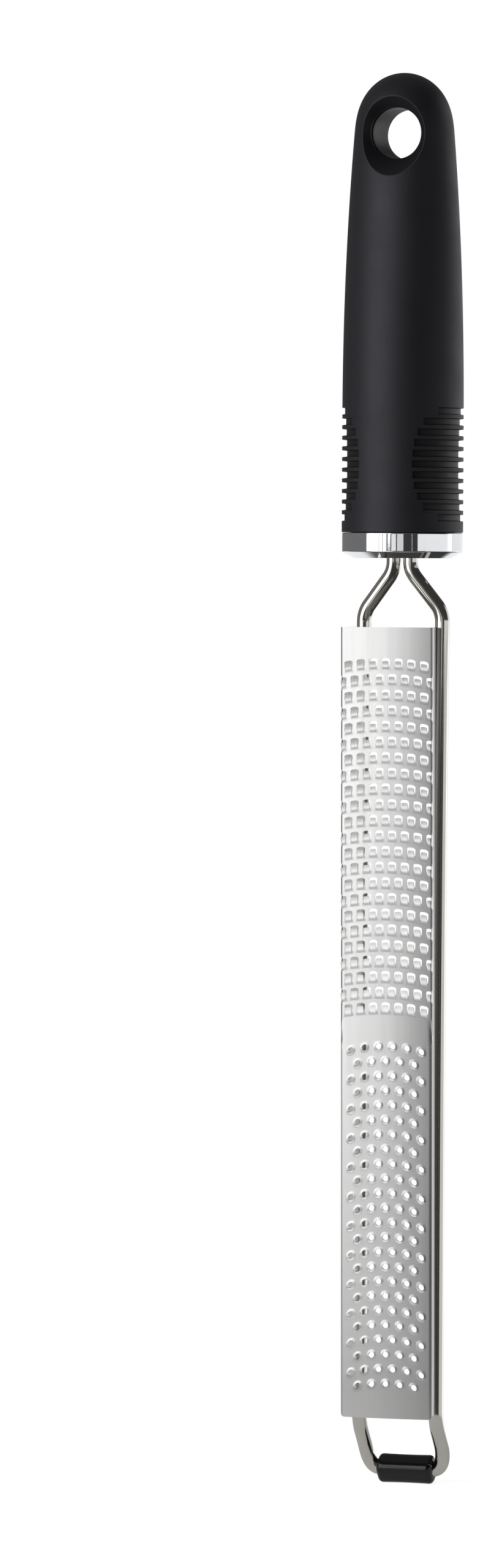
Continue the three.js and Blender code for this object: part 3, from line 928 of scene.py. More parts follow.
@dataclass(frozen=True)
class HandleCore:
    """Hard core in the grip: lining of the bore, spigot for the collar and socket for the rods."""

    form: HandleForm = HandleForm()
    inset: float = 3.3
    dish_skin: float = 1.6
    lining: float = 0.3
    lip_height: float = 7.15
    lip_rounding: float = 0.1
    lip_slope: float = 1.0
    wall_rounding: float = 1.2
    spigot_radius: float = 14.7
    spigot_top: float = COLLAR_TOP
    spigot_bottom: float = -113.6
    socket_top: float = -48.0
    socket_half_spacing: float = ROD_END_HALF_SPACING
    socket_radius: float = SLOT_RADIUS

    def build(self) -> bpy.types.Object:
        """Build the core.

        Returns:
            The core's object.
        """
        form = self.form
        bore = form.bore_radius
        lined = bore + self.lining
        skin = HandleSkin(form, self.inset, self.dish_skin * DISH_SLANT, lined)
        columns = skin.columns()
        barrel = skin.barrel(np.linspace(skin.cut, form.bottom, skin.plain_rows))
        spigot = [
            turned_ring(self.spigot_radius, self.spigot_top, columns),
            turned_ring(self.spigot_radius, self.spigot_bottom, columns),
            slot_outline(self.socket_half_spacing, self.socket_radius, self.spigot_bottom, columns),
            slot_outline(self.socket_half_spacing, self.socket_radius, self.socket_top, columns),
            turned_ring(0.0, self.socket_top, columns),
        ]
        shell = Shell()
        shell.add_grid(np.concatenate([barrel, np.stack(spigot)]))
        for side in Side:
            shell.add_grid(skin.eye(side))
        angles, _ = skin.rays()
        base = float(form.dish(np.array(lined), skin.sink))
        profile = rounded_profile(
            [
                (lined, base, 0.0),
                (lined, self.lip_height, self.lip_rounding),
                (bore, self.lip_height - self.lip_slope, self.wall_rounding),
                (bore, 0.0, 0.0),
            ]
        )
        profile = np.concatenate([profile, (profile * [1.0, -1.0])[-2::-1]])
        radius, y = profile[:, :1], profile[:, 1:]
        wall = [radius * np.cos(angles), np.broadcast_to(y, (len(y), len(angles))), radius * np.sin(angles)]
        shell.add_grid(np.stack(wall, axis=-1))
        return place_piece(shell, "handle_core", [SATIN_PLASTIC])


@dataclass(frozen=True)
class Collar:
    """Polished cap ring with a bevelled underside and one slot for both rods."""

    radius: float = 16.4
    top: float = COLLAR_TOP
    band: float = 5.2
    bevel_height: float = 1.7
    bevel_width: float = 3.1
    wall: float = 1.4
    floor: float = 1.6
    slot_half_spacing: float = ROD_END_HALF_SPACING
    slot_radius: float = SLOT_RADIUS
    edge: float = 0.3
    columns: int = 192

    def build(self) -> bpy.types.Object:
        """Build the collar.

        Returns:
            The collar's object.
        """
        band_bottom = self.top - self.band
        bottom = band_bottom - self.bevel_height
        inner = self.radius - self.wall
        floor_top = bottom + self.floor
        profile = rounded_profile(
            [
                (inner, floor_top, 0.0),
                (inner, self.top, self.edge),
                (self.radius, self.top, self.edge),
                (self.radius, band_bottom, self.edge),
                (self.radius - self.bevel_width, bottom, self.edge),
                (self.slot_half_spacing + self.slot_radius + self.edge, bottom, 0.0),
            ]
        )
        angles = 2 * np.pi * np.arange(self.columns) / self.columns
        floor_ring = slot_outline(self.slot_half_spacing, self.slot_radius, floor_top, angles)
        lower_ring = slot_outline(self.slot_half_spacing, self.slot_radius, bottom, angles)
        rings = [turned_ring(r, z, angles) for r, z in profile]
        shell = Shell()
        shell.add_grid(np.stack([floor_ring, *rings, lower_ring, floor_ring]))
        return place_piece(shell, "collar", [CHROME])


# Frame


@dataclass(frozen=True)
class FrameRod:
    """One bent rod: two ends in the handle, splayed neck, long sides, legs and cross bar."""

    radius: float = 2.0
    tang_half_spacing: float = ROD_END_HALF_SPACING
    tang_top: float = -48.3
    splay_top: float = -116.4
    splay_angle: float = 38.0
    splay_radius: float = 7.3
    half_spacing_top: float = 11.25
    half_spacing_bottom: float = 11.05
    bow_in: float = 0.4
    setback_top: float = 1.2
    leg_top: float = -348.9
    leg_radius: float = 9.0
    leg_angle: float = 38.0
    leg_straight: float = 4.2
    corner_drop: float = 7.45
    corner_setback: float = 3.7
    corner_width: float = 3.75
    corner_reach: float = 3.6
    sides: int = 40
    arc_steps: int = 14
    side_steps: int = 12
    corner_steps: int = 20
    hold: float = 0.05
    long_step: float = 1.5

    def arc(self, start: Array, direction: Array, side: Array, radius: float, angle: float) -> Array:
        """Points of a bend.

        Args:
            start: Where the bend starts.
            direction: Unit direction in which it starts.
            side: Unit direction towards which it turns.
            radius: Radius of the bend in mm.
            angle: Angle of the bend in radians.

        Returns:
            Points from the start to the end.
        """
        turned = np.linspace(0.0, angle, self.arc_steps + 1)[:, None]
        return start + radius * np.sin(turned) * direction + radius * (1.0 - np.cos(turned)) * side

    def cross_bar(self) -> Array:
        """Middle of the cross bar.

        Returns:
            Its place in mm.
        """
        lean = math.radians(self.leg_angle)
        y = self.leg_radius * (1.0 - math.cos(lean)) + self.leg_straight * math.sin(lean)
        z = self.leg_top - self.leg_radius * math.sin(lean) - self.leg_straight * math.cos(lean)
        return np.array([0.0, y + self.corner_setback, z - self.corner_drop])

    def half_path(self) -> Array:
        """Middle line of the rod on the +X side, from the handle to the middle of the cross bar.

        Straights and arcs lead to the legs, and a cubic Bezier curve to the cross bar. The long side
        then bows in by a fading share less its power, and lies back by that power of the share, with
        an eased start over the splayed neck.

        Returns:
            Points in mm, one row each.
        """
        down = np.array([0.0, 0.0, -1.0])
        outward = np.array([1.0, 0.0, 0.0])
        back = np.array([0.0, 1.0, 0.0])
        splay, lean = math.radians(self.splay_angle), math.radians(self.leg_angle)
        tang_top = np.array([self.tang_half_spacing, 0.0, self.tang_top])
        splay_top = np.array([self.tang_half_spacing, 0.0, self.splay_top])
        first = self.arc(splay_top, down, outward, self.splay_radius, splay)
        slant = math.sin(splay) * outward + math.cos(splay) * down
        slant_side = math.sin(splay) * down - math.cos(splay) * outward
        offset = 2.0 * self.splay_radius * (1.0 - math.cos(splay))
        length = (self.half_spacing_top - self.tang_half_spacing - offset) / math.sin(splay)
        second = self.arc(first[-1] + length * slant, slant, slant_side, self.splay_radius, splay)
        leg_top = np.array([self.half_spacing_bottom, 0.0, self.leg_top])
        way = np.linspace(0.0, 1.0, self.side_steps + 1)[1:-1, None]
        side = second[-1] + (leg_top - second[-1]) * way
        leg = self.arc(leg_top, down, back, self.leg_radius, lean)
        leg_direction = math.sin(lean) * back + math.cos(lean) * down
        leg_end = leg[-1] + self.leg_straight * leg_direction
        bar = self.cross_bar()
        bar_end = bar + (self.half_spacing_bottom - self.corner_width) * outward
        t = np.linspace(0.0, 1.0, self.corner_steps + 1)[:, None]
        corner = (
            (1.0 - t) ** 3 * leg_end
            + 3.0 * t * (1.0 - t) ** 2 * (leg_end + self.corner_reach * leg_direction)
            + 3.0 * t**2 * (1.0 - t) * (bar_end + self.corner_reach * outward)
            + t**3 * bar_end
        )
        path = np.concatenate([[tang_top], first, second, side, leg, corner, [bar]])
        splay_end = second[-1, 2]
        ramp = smooth_step((self.splay_top - path[:, 2]) / (self.splay_top - splay_end))
        fade = np.clip((path[:, 2] - self.leg_top) / (splay_end - self.leg_top), 0.0, 1.0)
        path[:, 0] -= self.bow_in * (fade - fade**FADE_POWER)
        path[:, 1] += self.setback_top * ramp * fade**FADE_POWER
        return path

    def bar_place(self, across: Array) -> tuple[Array, Array]:
        """Place of the cross bar and its corners.

        Args:
            across: Places across in mm.

        Returns:
            Y and Z of the rod's middle line at each of them.
        """
        stretch = self.half_path()[-self.corner_steps - 2 :][::-1]
        out = np.abs(across)
        return np.interp(out, stretch[:, 0], stretch[:, 1]), np.interp(out, stretch[:, 0], stretch[:, 2])

    def sweep(self, path: Array, radius: float) -> Array:
        """Sweep a circle along a path.

        Each ring stands square to the path's direction at its point. Its first spoke is the cross
        product of that direction and Y, which the path never follows.

        Args:
            path: Points of the middle line.
            radius: Radius of the circle in mm.

        Returns:
            Points by ring and spoke.
        """
        tangent = np.gradient(path, axis=0)
        tangent /= np.linalg.norm(tangent, axis=1, keepdims=True)
        first = np.cross(tangent, [0.0, 1.0, 0.0])
        first /= np.linalg.norm(first, axis=1, keepdims=True)
        second = np.cross(first, tangent)
        turn = 2 * np.pi * np.arange(self.sides) / self.sides
        spokes = np.cos(turn)[:, None] * first[:, None] + np.sin(turn)[:, None] * second[:, None]
        return path[:, None] + radius * spokes

    def path(self) -> Array:
        """Middle line of the whole rod, with extra points just inside the ends of each straight.

        They keep the smooth shading of the bends out of the straights. Their sort keys lie between
        those of the straight's ends.

        Returns:
            Points from the end on the +X side to the one on the -X side.
        """
        half = self.half_path()
        step = np.diff(half, axis=0)
        length = np.linalg.norm(step, axis=1)
        long = np.flatnonzero(length > self.long_step)
        inset = self.hold * step[long] / length[long, None]
        extra = np.concatenate([half[long] + inset, half[long + 1] - inset])
        order = np.concatenate([np.arange(len(half)), long + 0.25, long + 0.75])
        half = np.concatenate([half, extra])[np.argsort(order)]
        return np.concatenate([half, half[-2::-1] * [-1.0, 1.0, 1.0]])

    def build(self) -> bpy.types.Object:
        """Build the rod.

        Returns:
            The rod's object.
        """
        tube = self.sweep(self.path(), self.radius)
        ends = [np.broadcast_to(tube[i].mean(axis=0), tube[i].shape) for i in (0, -1)]
        shell = Shell()
        shell.add_grid(np.concatenate([ends[0][None], tube, ends[1][None]]))
        return place_piece(shell, "frame_rod", [POLISHED_STEEL])


# Blade


def grid_quads(rows: int, columns: int) -> Array:
    """Quads of an open grid that is stored row by row.

    Args:
        rows: Rows of points.
        columns: Columns of points.

    Returns:
        Corner numbers, four a row.
    """
    row, column = np.meshgrid(np.arange(rows - 1), np.arange(columns - 1), indexing="ij")
    start = (row * columns + column).ravel()
    return np.stack([start, start + 1, start + columns + 1, start + columns], axis=-1)


def rectangle_ring(across: Array, down: Array) -> Array:
    """Points round a rectangle, from the upper left corner over the top and the right side.

    Args:
        across: Lines across, from left to right.
        down: Lines down, from top to bottom.

    Returns:
        Across and down of each point, without the first one again at the end.
    """
    top = np.stack([across[:-1], np.full(len(across) - 1, down[0])], axis=-1)
    right = np.stack([np.full(len(down) - 1, across[-1]), down[:-1]], axis=-1)
    bottom = np.stack([across[:0:-1], np.full(len(across) - 1, down[-1])], axis=-1)
    left = np.stack([np.full(len(down) - 1, across[0]), down[:0:-1]], axis=-1)
    return np.concatenate([top, right, bottom, left])


def rim_walls(quads: Array, count: int) -> Array:
    """Walls between the two faces of a sheet, along every edge that only one quad has.

    Args:
        quads: Corner numbers of the front face, four a row.
        count: Points of the front face, which those of the back face follow in the same order.

    Returns:
        Corner numbers, four a row.
    """
    edges = np.stack([quads, np.roll(quads, -1, axis=1)], axis=-1).reshape(-1, 2)
    edges = edges[edges[:, 0] != edges[:, 1]]
    either_way = np.minimum(edges @ [count, 1], edges @ [1, count])
    _, first, times = np.unique(either_way, return_index=True, return_counts=True)
    rim = edges[first[times == 1]]
    return np.concatenate([rim, rim[:, ::-1] + count], axis=1)


@dataclass(frozen=True)
class Lattice:
    """Staggered rows of one kind of opening, which arch up in the middle."""

    first_row: float
    rows: int
    columns: int
    row_pitch: float
    column_pitch: float
    arch_radius: float
    steps_down: int
    steps_across: int = 6

    def arch(self, across: Array) -> Array:
        """How far a place beside the middle lies below its row's middle."""
        return self.arch_radius - np.sqrt(self.arch_radius**2 - across**2)

    def top(self) -> float:
        """Upper limit of the first row's cells."""
        return self.first_row - self.row_pitch / 2

    def bottom(self) -> float:
        """Lower limit of the last row's cells."""
        return self.top() + self.rows * self.row_pitch

    def lines_across(self) -> Array:
        """Lines of the whole zone from left to right."""
        share = np.linspace(-0.5, 0.5, self.columns * self.steps_across + 1)
        return share * self.columns * self.column_pitch

    def lines_down(self) -> Array:
        """Lines of the whole zone from top to bottom, in its middle."""
        return self.top() + np.arange(self.rows * self.steps_down + 1) * self.row_pitch / self.steps_down

    def cell_lines(self) -> Array:
        """Lines across a cell from left to right, round its middle."""
        return np.linspace(-self.column_pitch / 2, self.column_pitch / 2, self.steps_across + 1)

    def cell_outline(self) -> Array:
        """Points round a cell and its middle, in the order of rectangle_ring."""
        down = np.linspace(-self.row_pitch / 2, self.row_pitch / 2, self.steps_down + 1)
        return rectangle_ring(self.cell_lines(), down)


@dataclass(frozen=True)
class Tooth:
    """Rasp tooth: a tongue that leans out of the sheet, with a slot over its top and down its sides."""

    root: float = 1.15
    root_half_width: float = 0.95
    edge: float = -0.6
    edge_half_width: float = 0.8
    edge_rounding: float = 0.14
    slot_top: float = -1.42
    slot_half_width: float = 1.26
    slot_rounding: float = 0.42
    rise: float = 0.36
    even_lean: float = 0.7
    steps: int = 4
    end_share: float = 0.25

    def slot(self, steps_across: int, steps_down: int) -> Array:
        """Outline of the slot and the root, in the order of rectangle_ring.

        The top is a flat fourth-power arch, and the sides run in to the root by a third power.

        Args:
            steps_across: Steps of the top and of the root.
            steps_down: Steps of each side.

        Returns:
            Across and down of each point.
        """
        share = np.linspace(-1.0, 1.0, steps_across + 1)
        top_down = self.slot_top + self.slot_rounding * share**4
        top = np.stack([self.slot_half_width * share, top_down], axis=-1)
        way = np.linspace(0.0, 1.0, steps_down + 1)
        side_down = top[-1, 1] + (self.root - top[-1, 1]) * way
        side_across = self.root_half_width + (self.slot_half_width - self.root_half_width) * (1.0 - way**3)
        side = np.stack([side_across, side_down], axis=-1)
        root = np.stack([-self.root_half_width * share, np.full_like(share, self.root)], axis=-1)
        left = (side * [-1.0, 1.0])[::-1]
        return np.concatenate([top[:-1], side[:-1], root[:-1], left[:-1]])

    def tongue(self, steps_across: int) -> Array:
        """Grid of the tongue from its cutting edge down to its root.

        The tongue leaves the sheet steeply at its root and straightens towards the cutting edge: its
        rise is in part an even lean, and for the rest one less the fourth power of the way down.

        Args:
            steps_across: Steps across the tongue.

        Returns:
            Across, down and rise of each point, by row and column.
        """
        share = np.linspace(-1.0, 1.0, steps_across + 1)
        across, way = np.meshgrid(share, np.linspace(0.0, 1.0, self.steps + 1))
        half_width = self.edge_half_width + (self.root_half_width - self.edge_half_width) * way**2
        edge = self.edge + self.edge_rounding * across**4
        rise = self.rise * (self.even_lean * (1.0 - way) + (1.0 - self.even_lean) * (1.0 - way**4))
        return np.stack([half_width * across, edge + (self.root - edge) * way, rise], axis=-1)


@dataclass(frozen=True)
class PunchedHole:
    """Round hole with a raised and slightly jagged rim."""

    radius: float = 0.84
    rim: float = 0.95
    base: float = 1.4
    apron: float = 0.2
    rise: float = 0.08
    jag: float = 0.03
    jag_spread: float = 0.4

    def rings(self) -> list[Triple]:
        """Rings from the flat sheet over the rim to the hole.

        Returns:
            Radius, share of the rise and share of the jags of each ring.
        """
        return [
            (self.base + self.apron, 0.0, 0.0),
            (self.base, 0.03, 0.0),
            (0.5 * (self.base + self.rim), 0.5, 0.2),
            (self.rim, 0.95, 0.8),
            (self.radius, 1.0, 1.0),
        ]


@dataclass
class Sheet:
    """Flat pattern of the blade: places across, down and above the sheet for both of its faces."""

    front: list[Array] = field(default_factory=list)
    back: list[Array] = field(default_factory=list)
    quads: list[Array] = field(default_factory=list)
    count: int = 0

    def add(self, front: Array, back: Array, quads: Array) -> None:
        """Add points of both faces and the quads among the front ones.

        Args:
            front: Across, down and rise of the front points.
            back: The same for the back points.
            quads: Corner numbers, four a row.
        """
        self.front.append(front)
        self.back.append(back)
        self.quads.append(quads + self.count)
        self.count += len(front)

    def add_grid(self, front: Array, back: Array) -> None:
        """Add an open grid.

        Args:
            front: Front points by row and column.
            back: Back points by row and column.
        """
        self.add(front.reshape(-1, 3), back.reshape(-1, 3), grid_quads(*front.shape[:2]))

    def add_rings(self, front: Array, back: Array) -> None:
        """Add closed rings.

        Args:
            front: Front points by ring and place round it.
            back: Back points by ring and place round it.
        """
        closed = [np.concatenate([points, points[:, :1]], axis=1) for points in (front, back)]
        self.add_grid(*closed)

    def joined(self) -> Cell:
        """All front points, back points and quads."""
        return np.concatenate(self.front), np.concatenate(self.back), np.concatenate(self.quads)

    def welded(self) -> Cell:
        """Merge points that are the same on both faces.

        Returns:
            Front points, back points and quads.
        """
        front, back, quads = self.joined()
        steps = np.round(np.hstack([front, back]) * PATTERN_STEPS_PER_MM + PATTERN_SHIFT)
        _, first, place = np.unique(steps, axis=0, return_index=True, return_inverse=True)
        return front[first], back[first], place.reshape(-1)[quads]


@dataclass(frozen=True)
class Blade:
    """Steel sheet bent to a channel, with rasp teeth above and punched holes below."""

    top: float = -134.3
    length: float = 215.5
    thickness: float = 0.4
    half_width: float = 13.2
    face_radius: float = 110.0
    bend_radius: float = 0.7
    crown_top: float = -13.95
    crown_bottom: float = -10.55
    flange_edge_top: float = -0.35
    flange_edge_bottom: float = -1.9
    flange_inset: float = 0.2
    rod_half_spacing: float = 11.0
    rasp: Lattice = Lattice(
        first_row=9.75,
        rows=23,
        columns=9,
        row_pitch=4.254,
        column_pitch=3.62,
        arch_radius=70.0,
        steps_down=5,
    )
    dots: Lattice = Lattice(
        first_row=113.9,
        rows=24,
        columns=6,
        row_pitch=4.005,
        column_pitch=4.04,
        arch_radius=38.0,
        steps_down=4,
    )
    tooth: Tooth = Tooth()
    hole: PunchedHole = PunchedHole()
    corner: float = 1.1
    top_steps: int = 5
    middle_steps: int = 4
    bottom_steps: int = 4
    flange_steps: int = 5
    sharp_degrees: float = 26.0
    seed: int = 7

    def bend(self) -> tuple[float, float, float, float]:
        """Work out the side bends.

        The bend's circle touches the face's from inside, and the flange runs from it to a point beside
        the rod, halfway down the blade.

        Returns:
            Angle at which the face ends, the bend's centre in X and Y, and the flange's angle.
        """
        centre_x = self.half_width - self.bend_radius
        inner = self.face_radius - self.bend_radius
        face_angle = math.asin(centre_x / inner)
        centre_y = self.face_radius - inner * math.cos(face_angle)
        seat_x = self.rod_half_spacing - self.flange_inset - centre_x
        halfway = 0.5 * self.length
        seat_y = self.flange_edge(halfway) - self.crown(halfway) - centre_y
        seat_angle = math.pi + math.atan2(-seat_x, seat_y)
        tangent = math.acos(self.bend_radius / math.hypot(seat_x, seat_y))
        return face_angle, centre_x, centre_y, seat_angle - tangent

    def crown(self, down: Array) -> Array:
        """Y of the face's middle at places down the blade."""
        return self.crown_top + (self.crown_bottom - self.crown_top) * down / self.length

    def flange_edge(self, down: Array) -> Array:
        """Y of the flange's free edge, which follows the rods, at places down the blade."""
        share = (1.0 - down / self.length) ** FADE_POWER
        return self.flange_edge_bottom + (self.flange_edge_top - self.flange_edge_bottom) * share

    def flange_reach(self, down: Array) -> Array:
        """Distance across the flat pattern to the flange's edge.

        Args:
            down: Places down the blade in mm.

        Returns:
            Distance from the middle at each of them.
        """
        face_angle, _, centre_y, flange_angle = self.bend()
        bend_reach = self.face_radius * face_angle + self.bend_radius * (flange_angle - face_angle)
        bend_y = centre_y - self.bend_radius * math.cos(flange_angle)
        return bend_reach + (self.flange_edge(down) - self.crown(down) - bend_y) / math.sin(flange_angle)

    def formed(self, flat: Array) -> Array:
        """Bend the flat pattern.

        A place across runs along the face's wide arc, then round the side bend, then straight along
        the flange. The rise moves a point out along the normal there.

        Args:
            flat: Across, down and rise, one row each.

        Returns:
            Points in mm.
        """
        face_angle, centre_x, centre_y, flange_angle = self.bend()
        face_reach = self.face_radius * face_angle
        bend_reach = face_reach + self.bend_radius * (flange_angle - face_angle)
        across, down, rise = flat.T
        out = np.abs(across)
        on_face = out <= face_reach
        bend_angle = np.clip(face_angle + (out - face_reach) / self.bend_radius, face_angle, flange_angle)
        angle = np.where(on_face, out / self.face_radius, bend_angle)
        radius = np.where(on_face, self.face_radius, self.bend_radius) + rise
        straight = np.maximum(0.0, out - bend_reach)
        x = np.where(on_face, 0.0, centre_x) + radius * np.sin(angle) + straight * math.cos(flange_angle)
        middle_y = np.where(on_face, self.face_radius, centre_y)
        y = middle_y - radius * np.cos(angle) + straight * math.sin(flange_angle) + self.crown(down)
        return np.stack([np.sign(across) * x, y, self.top - down], axis=-1)

    def add_patch(self, sheet: Sheet, across: Array, down: Array) -> None:
        """Add a plain grid of sheet.

        Args:
            sheet: Flat pattern.
            across: Places across, by row and column.
            down: Places down, by row and column.
        """
        front = np.stack([across, down, np.zeros_like(across)], axis=-1)
        sheet.add_grid(front, front - [0.0, 0.0, self.thickness])

    def tooth_cell(self, side: float) -> Cell:
        """One cell of the rasp zone round its middle: flat sheet round the slot, and the tongue in it.

        Args:
            side: Sign of the side on which the bend cuts the tooth short, or 0.

        Returns:
            Front points, back points and quads.
        """
        tooth, rasp = self.tooth, self.rasp
        slot = tooth.slot(rasp.steps_across, rasp.steps_down)
        tongue = tooth.tongue(rasp.steps_across)
        for places in (slot, tongue):
            places[..., 0] *= np.where(side * places[..., 0] > 0.0, tooth.end_share, 1.0)
        flat = np.stack([rasp.cell_outline(), slot])
        rings = np.concatenate([flat, np.zeros((*flat.shape[:2], 1))], axis=-1)
        depth = [0.0, 0.0, self.thickness]
        cell = Sheet()
        cell.add_rings(rings, rings - depth)
        cell.add_grid(tongue, tongue - depth)
        return cell.joined()

    def hole_cell(self, chance: np.random.Generator) -> Cell:
        """One cell of the hole zone round its middle.

        Rings run from the cell's limits to a circle in the sheet, up to the jagged rim and to the hole.

        Args:
            chance: Source of the rim's jags.

        Returns:
            Front points, back points and quads.
        """
        hole = self.hole
        outline = self.dots.cell_outline()
        direction = outline / np.linalg.norm(outline, axis=1, keepdims=True)
        jag = hole.jag * chance.uniform(-1.0, 1.0, (len(outline), 1))
        rings = [np.hstack([outline, np.zeros_like(jag)])]
        for radius, rise_share, jag_share in hole.rings():
            reach = radius + hole.jag_spread * jag_share * jag
            rings.append(np.hstack([direction * reach, hole.rise * rise_share + jag * jag_share]))
        front = np.stack(rings)
        back = front.copy()
        back[..., 2] = -self.thickness
        cell = Sheet()
        cell.add_rings(front, back)
        return cell.joined()

    def add_lattice(self, sheet: Sheet, lattice: Lattice, cell: Callable[[float], Cell | None]) -> None:
        """Add all cells of a zone.

        Every second row has one cell less, and half a plain cell at each end.

        Args:
            sheet: Flat pattern.
            lattice: Rows and columns of the zone.
            cell: Makes the cell at a place across, round its middle, or tells by None that it is plain.
        """
        pitch = lattice.column_pitch
        lines = lattice.cell_lines()
        half = len(lines) // 2
        down_lines = np.linspace(0.0, lattice.row_pitch, lattice.steps_down + 1)
        for row in range(lattice.rows):
            count = lattice.columns - row % 2
            middle = lattice.first_row + row * lattice.row_pitch
            plain = []
            if count < lattice.columns:
                end = count * pitch / 2
                plain = [lines[half:] - end - pitch / 2, lines[: half + 1] + end + pitch / 2]
            for place in (np.arange(count) - (count - 1) / 2) * pitch:
                made = cell(place)
                if made is None:
                    plain.append(place + lines)
                    continue
                front, back, quads = made
                shifted = [points + [place, middle, 0.0] for points in (front, back)]
                for points in shifted:
                    points[:, 1] += lattice.arch(points[:, 0])
                sheet.add(*shifted, quads)
            for part in plain:
                across, down = np.meshgrid(part, lattice.top() + row * lattice.row_pitch + down_lines)
                self.add_patch(sheet, across, down + lattice.arch(across))

    def lower_edge(self, across: Array) -> Array:
        """Place down of the lower edge, which turns up at the rounded corners of the face.

        Args:
            across: Places across in mm.

        Returns:
            Place down at each of them.
        """
        share = np.clip((np.abs(across) - self.half_width) / self.corner + 1.0, 0.0, 1.0)
        return self.length - self.corner * (1.0 - np.sqrt(1.0 - share**2))

    def add_margins(self, sheet: Sheet) -> None:
        """Add the plain sheet above, between, below and beside the zones, and the flanges.

        Args:
            sheet: Flat pattern.
        """
        rasp, dots = self.rasp, self.dots
        rasp_lines, dot_lines = rasp.lines_across(), dots.lines_across()
        side_steps = (len(rasp_lines) - len(dot_lines)) // 2
        left = np.linspace(rasp_lines[0], dot_lines[0], side_steps + 1)[:-1]
        lines = np.concatenate([left, dot_lines, -left[::-1]])

        def band(upper: Array, upper_down: Array, lower: Array, lower_down: Array, steps: int) -> None:
            """Add plain sheet between two lines.

            Args:
                upper: Places across of the upper line.
                upper_down: Places down of the upper line.
                lower: Places across of the lower line.
                lower_down: Places down of the lower line.
                steps: Rows of quads between them.
            """
            share = np.linspace(0.0, 1.0, steps + 1)[:, None]
            across = upper + (lower - upper) * share
            self.add_patch(sheet, across, upper_down + (lower_down - upper_down) * share)

        rasp_top, rasp_bottom = (limit + rasp.arch(rasp_lines) for limit in (rasp.top(), rasp.bottom()))
        dots_top, dots_bottom = (limit + dots.arch(lines) for limit in (dots.top(), dots.bottom()))
        lower_edge = self.lower_edge(lines)
        band(rasp_lines, np.zeros_like(rasp_lines), rasp_lines, rasp_top, self.top_steps)
        band(rasp_lines, rasp_bottom, lines, dots_top, self.middle_steps)
        band(lines, dots_bottom, lines, lower_edge, self.bottom_steps)
        for strip in (lines[: side_steps + 1], lines[-side_steps - 1 :]):
            across, down = np.meshgrid(strip, dots.lines_down())
            self.add_patch(sheet, across, down + dots.arch(across))
        limit = rasp_lines[-1]
        edge_down = np.concatenate(
            [
                np.linspace(0.0, rasp_top[-1], self.top_steps + 1),
                rasp.lines_down()[1:] + rasp.arch(limit),
                np.linspace(rasp_bottom[-1], dots_top[-1], self.middle_steps + 1)[1:],
                dots.lines_down()[1:] + dots.arch(limit),
                np.linspace(dots_bottom[-1], lower_edge[-1], self.bottom_steps + 1)[1:],
            ]
        )
        share = np.linspace(0.0, 1.0, self.flange_steps + 1)
        reach = limit + (self.flange_reach(edge_down)[:, None] - limit) * share
        down = np.broadcast_to(edge_down[:, None], reach.shape)
        self.add_patch(sheet, reach, down)
        self.add_patch(sheet, -reach, down)

    def build(self) -> bpy.types.Object:
        """Build the blade.

        Returns:
            The blade's object.
        """
        chance = np.random.default_rng(self.seed)
        rasp = self.rasp
        sheet = Sheet()
        teeth = {side: self.tooth_cell(side) for side in (-1.0, 0.0, 1.0)}

        def tooth_at(place: float) -> Cell | None:
            """Choose the tooth: none at the ends of a full row, and a cut one at the ends of a short row.

            Args:
                place: Place across in mm.

            Returns:
                Cell with the tooth, or None.
            """
            half_pitches_in = round(rasp.columns - 1 - 2.0 * abs(place) / rasp.column_pitch)
            if half_pitches_in == 0:
                return None
            return teeth[float(np.sign(place)) if half_pitches_in == 1 else 0.0]

        self.add_lattice(sheet, rasp, tooth_at)
        self.add_lattice(sheet, self.dots, lambda place: self.hole_cell(chance))
        self.add_margins(sheet)
        front, back, quads = sheet.welded()
        walls = rim_walls(quads, len(front))
        points = self.formed(np.concatenate([front, back]))
        faces = np.concatenate([quads, walls, quads[:, ::-1] + len(front)])
        # The back faces take the lighter inside steel, which is painted light
        inside = np.arange(len(faces)) >= len(quads) + len(walls)
        shell = Shell()
        shell.add(points, faces, inside)
        finishes = [BRUSHED_STEEL, DULL_LIGHTENED_STEEL]
        return place_piece(shell, "blade", finishes, self.sharp_degrees)


# Foot


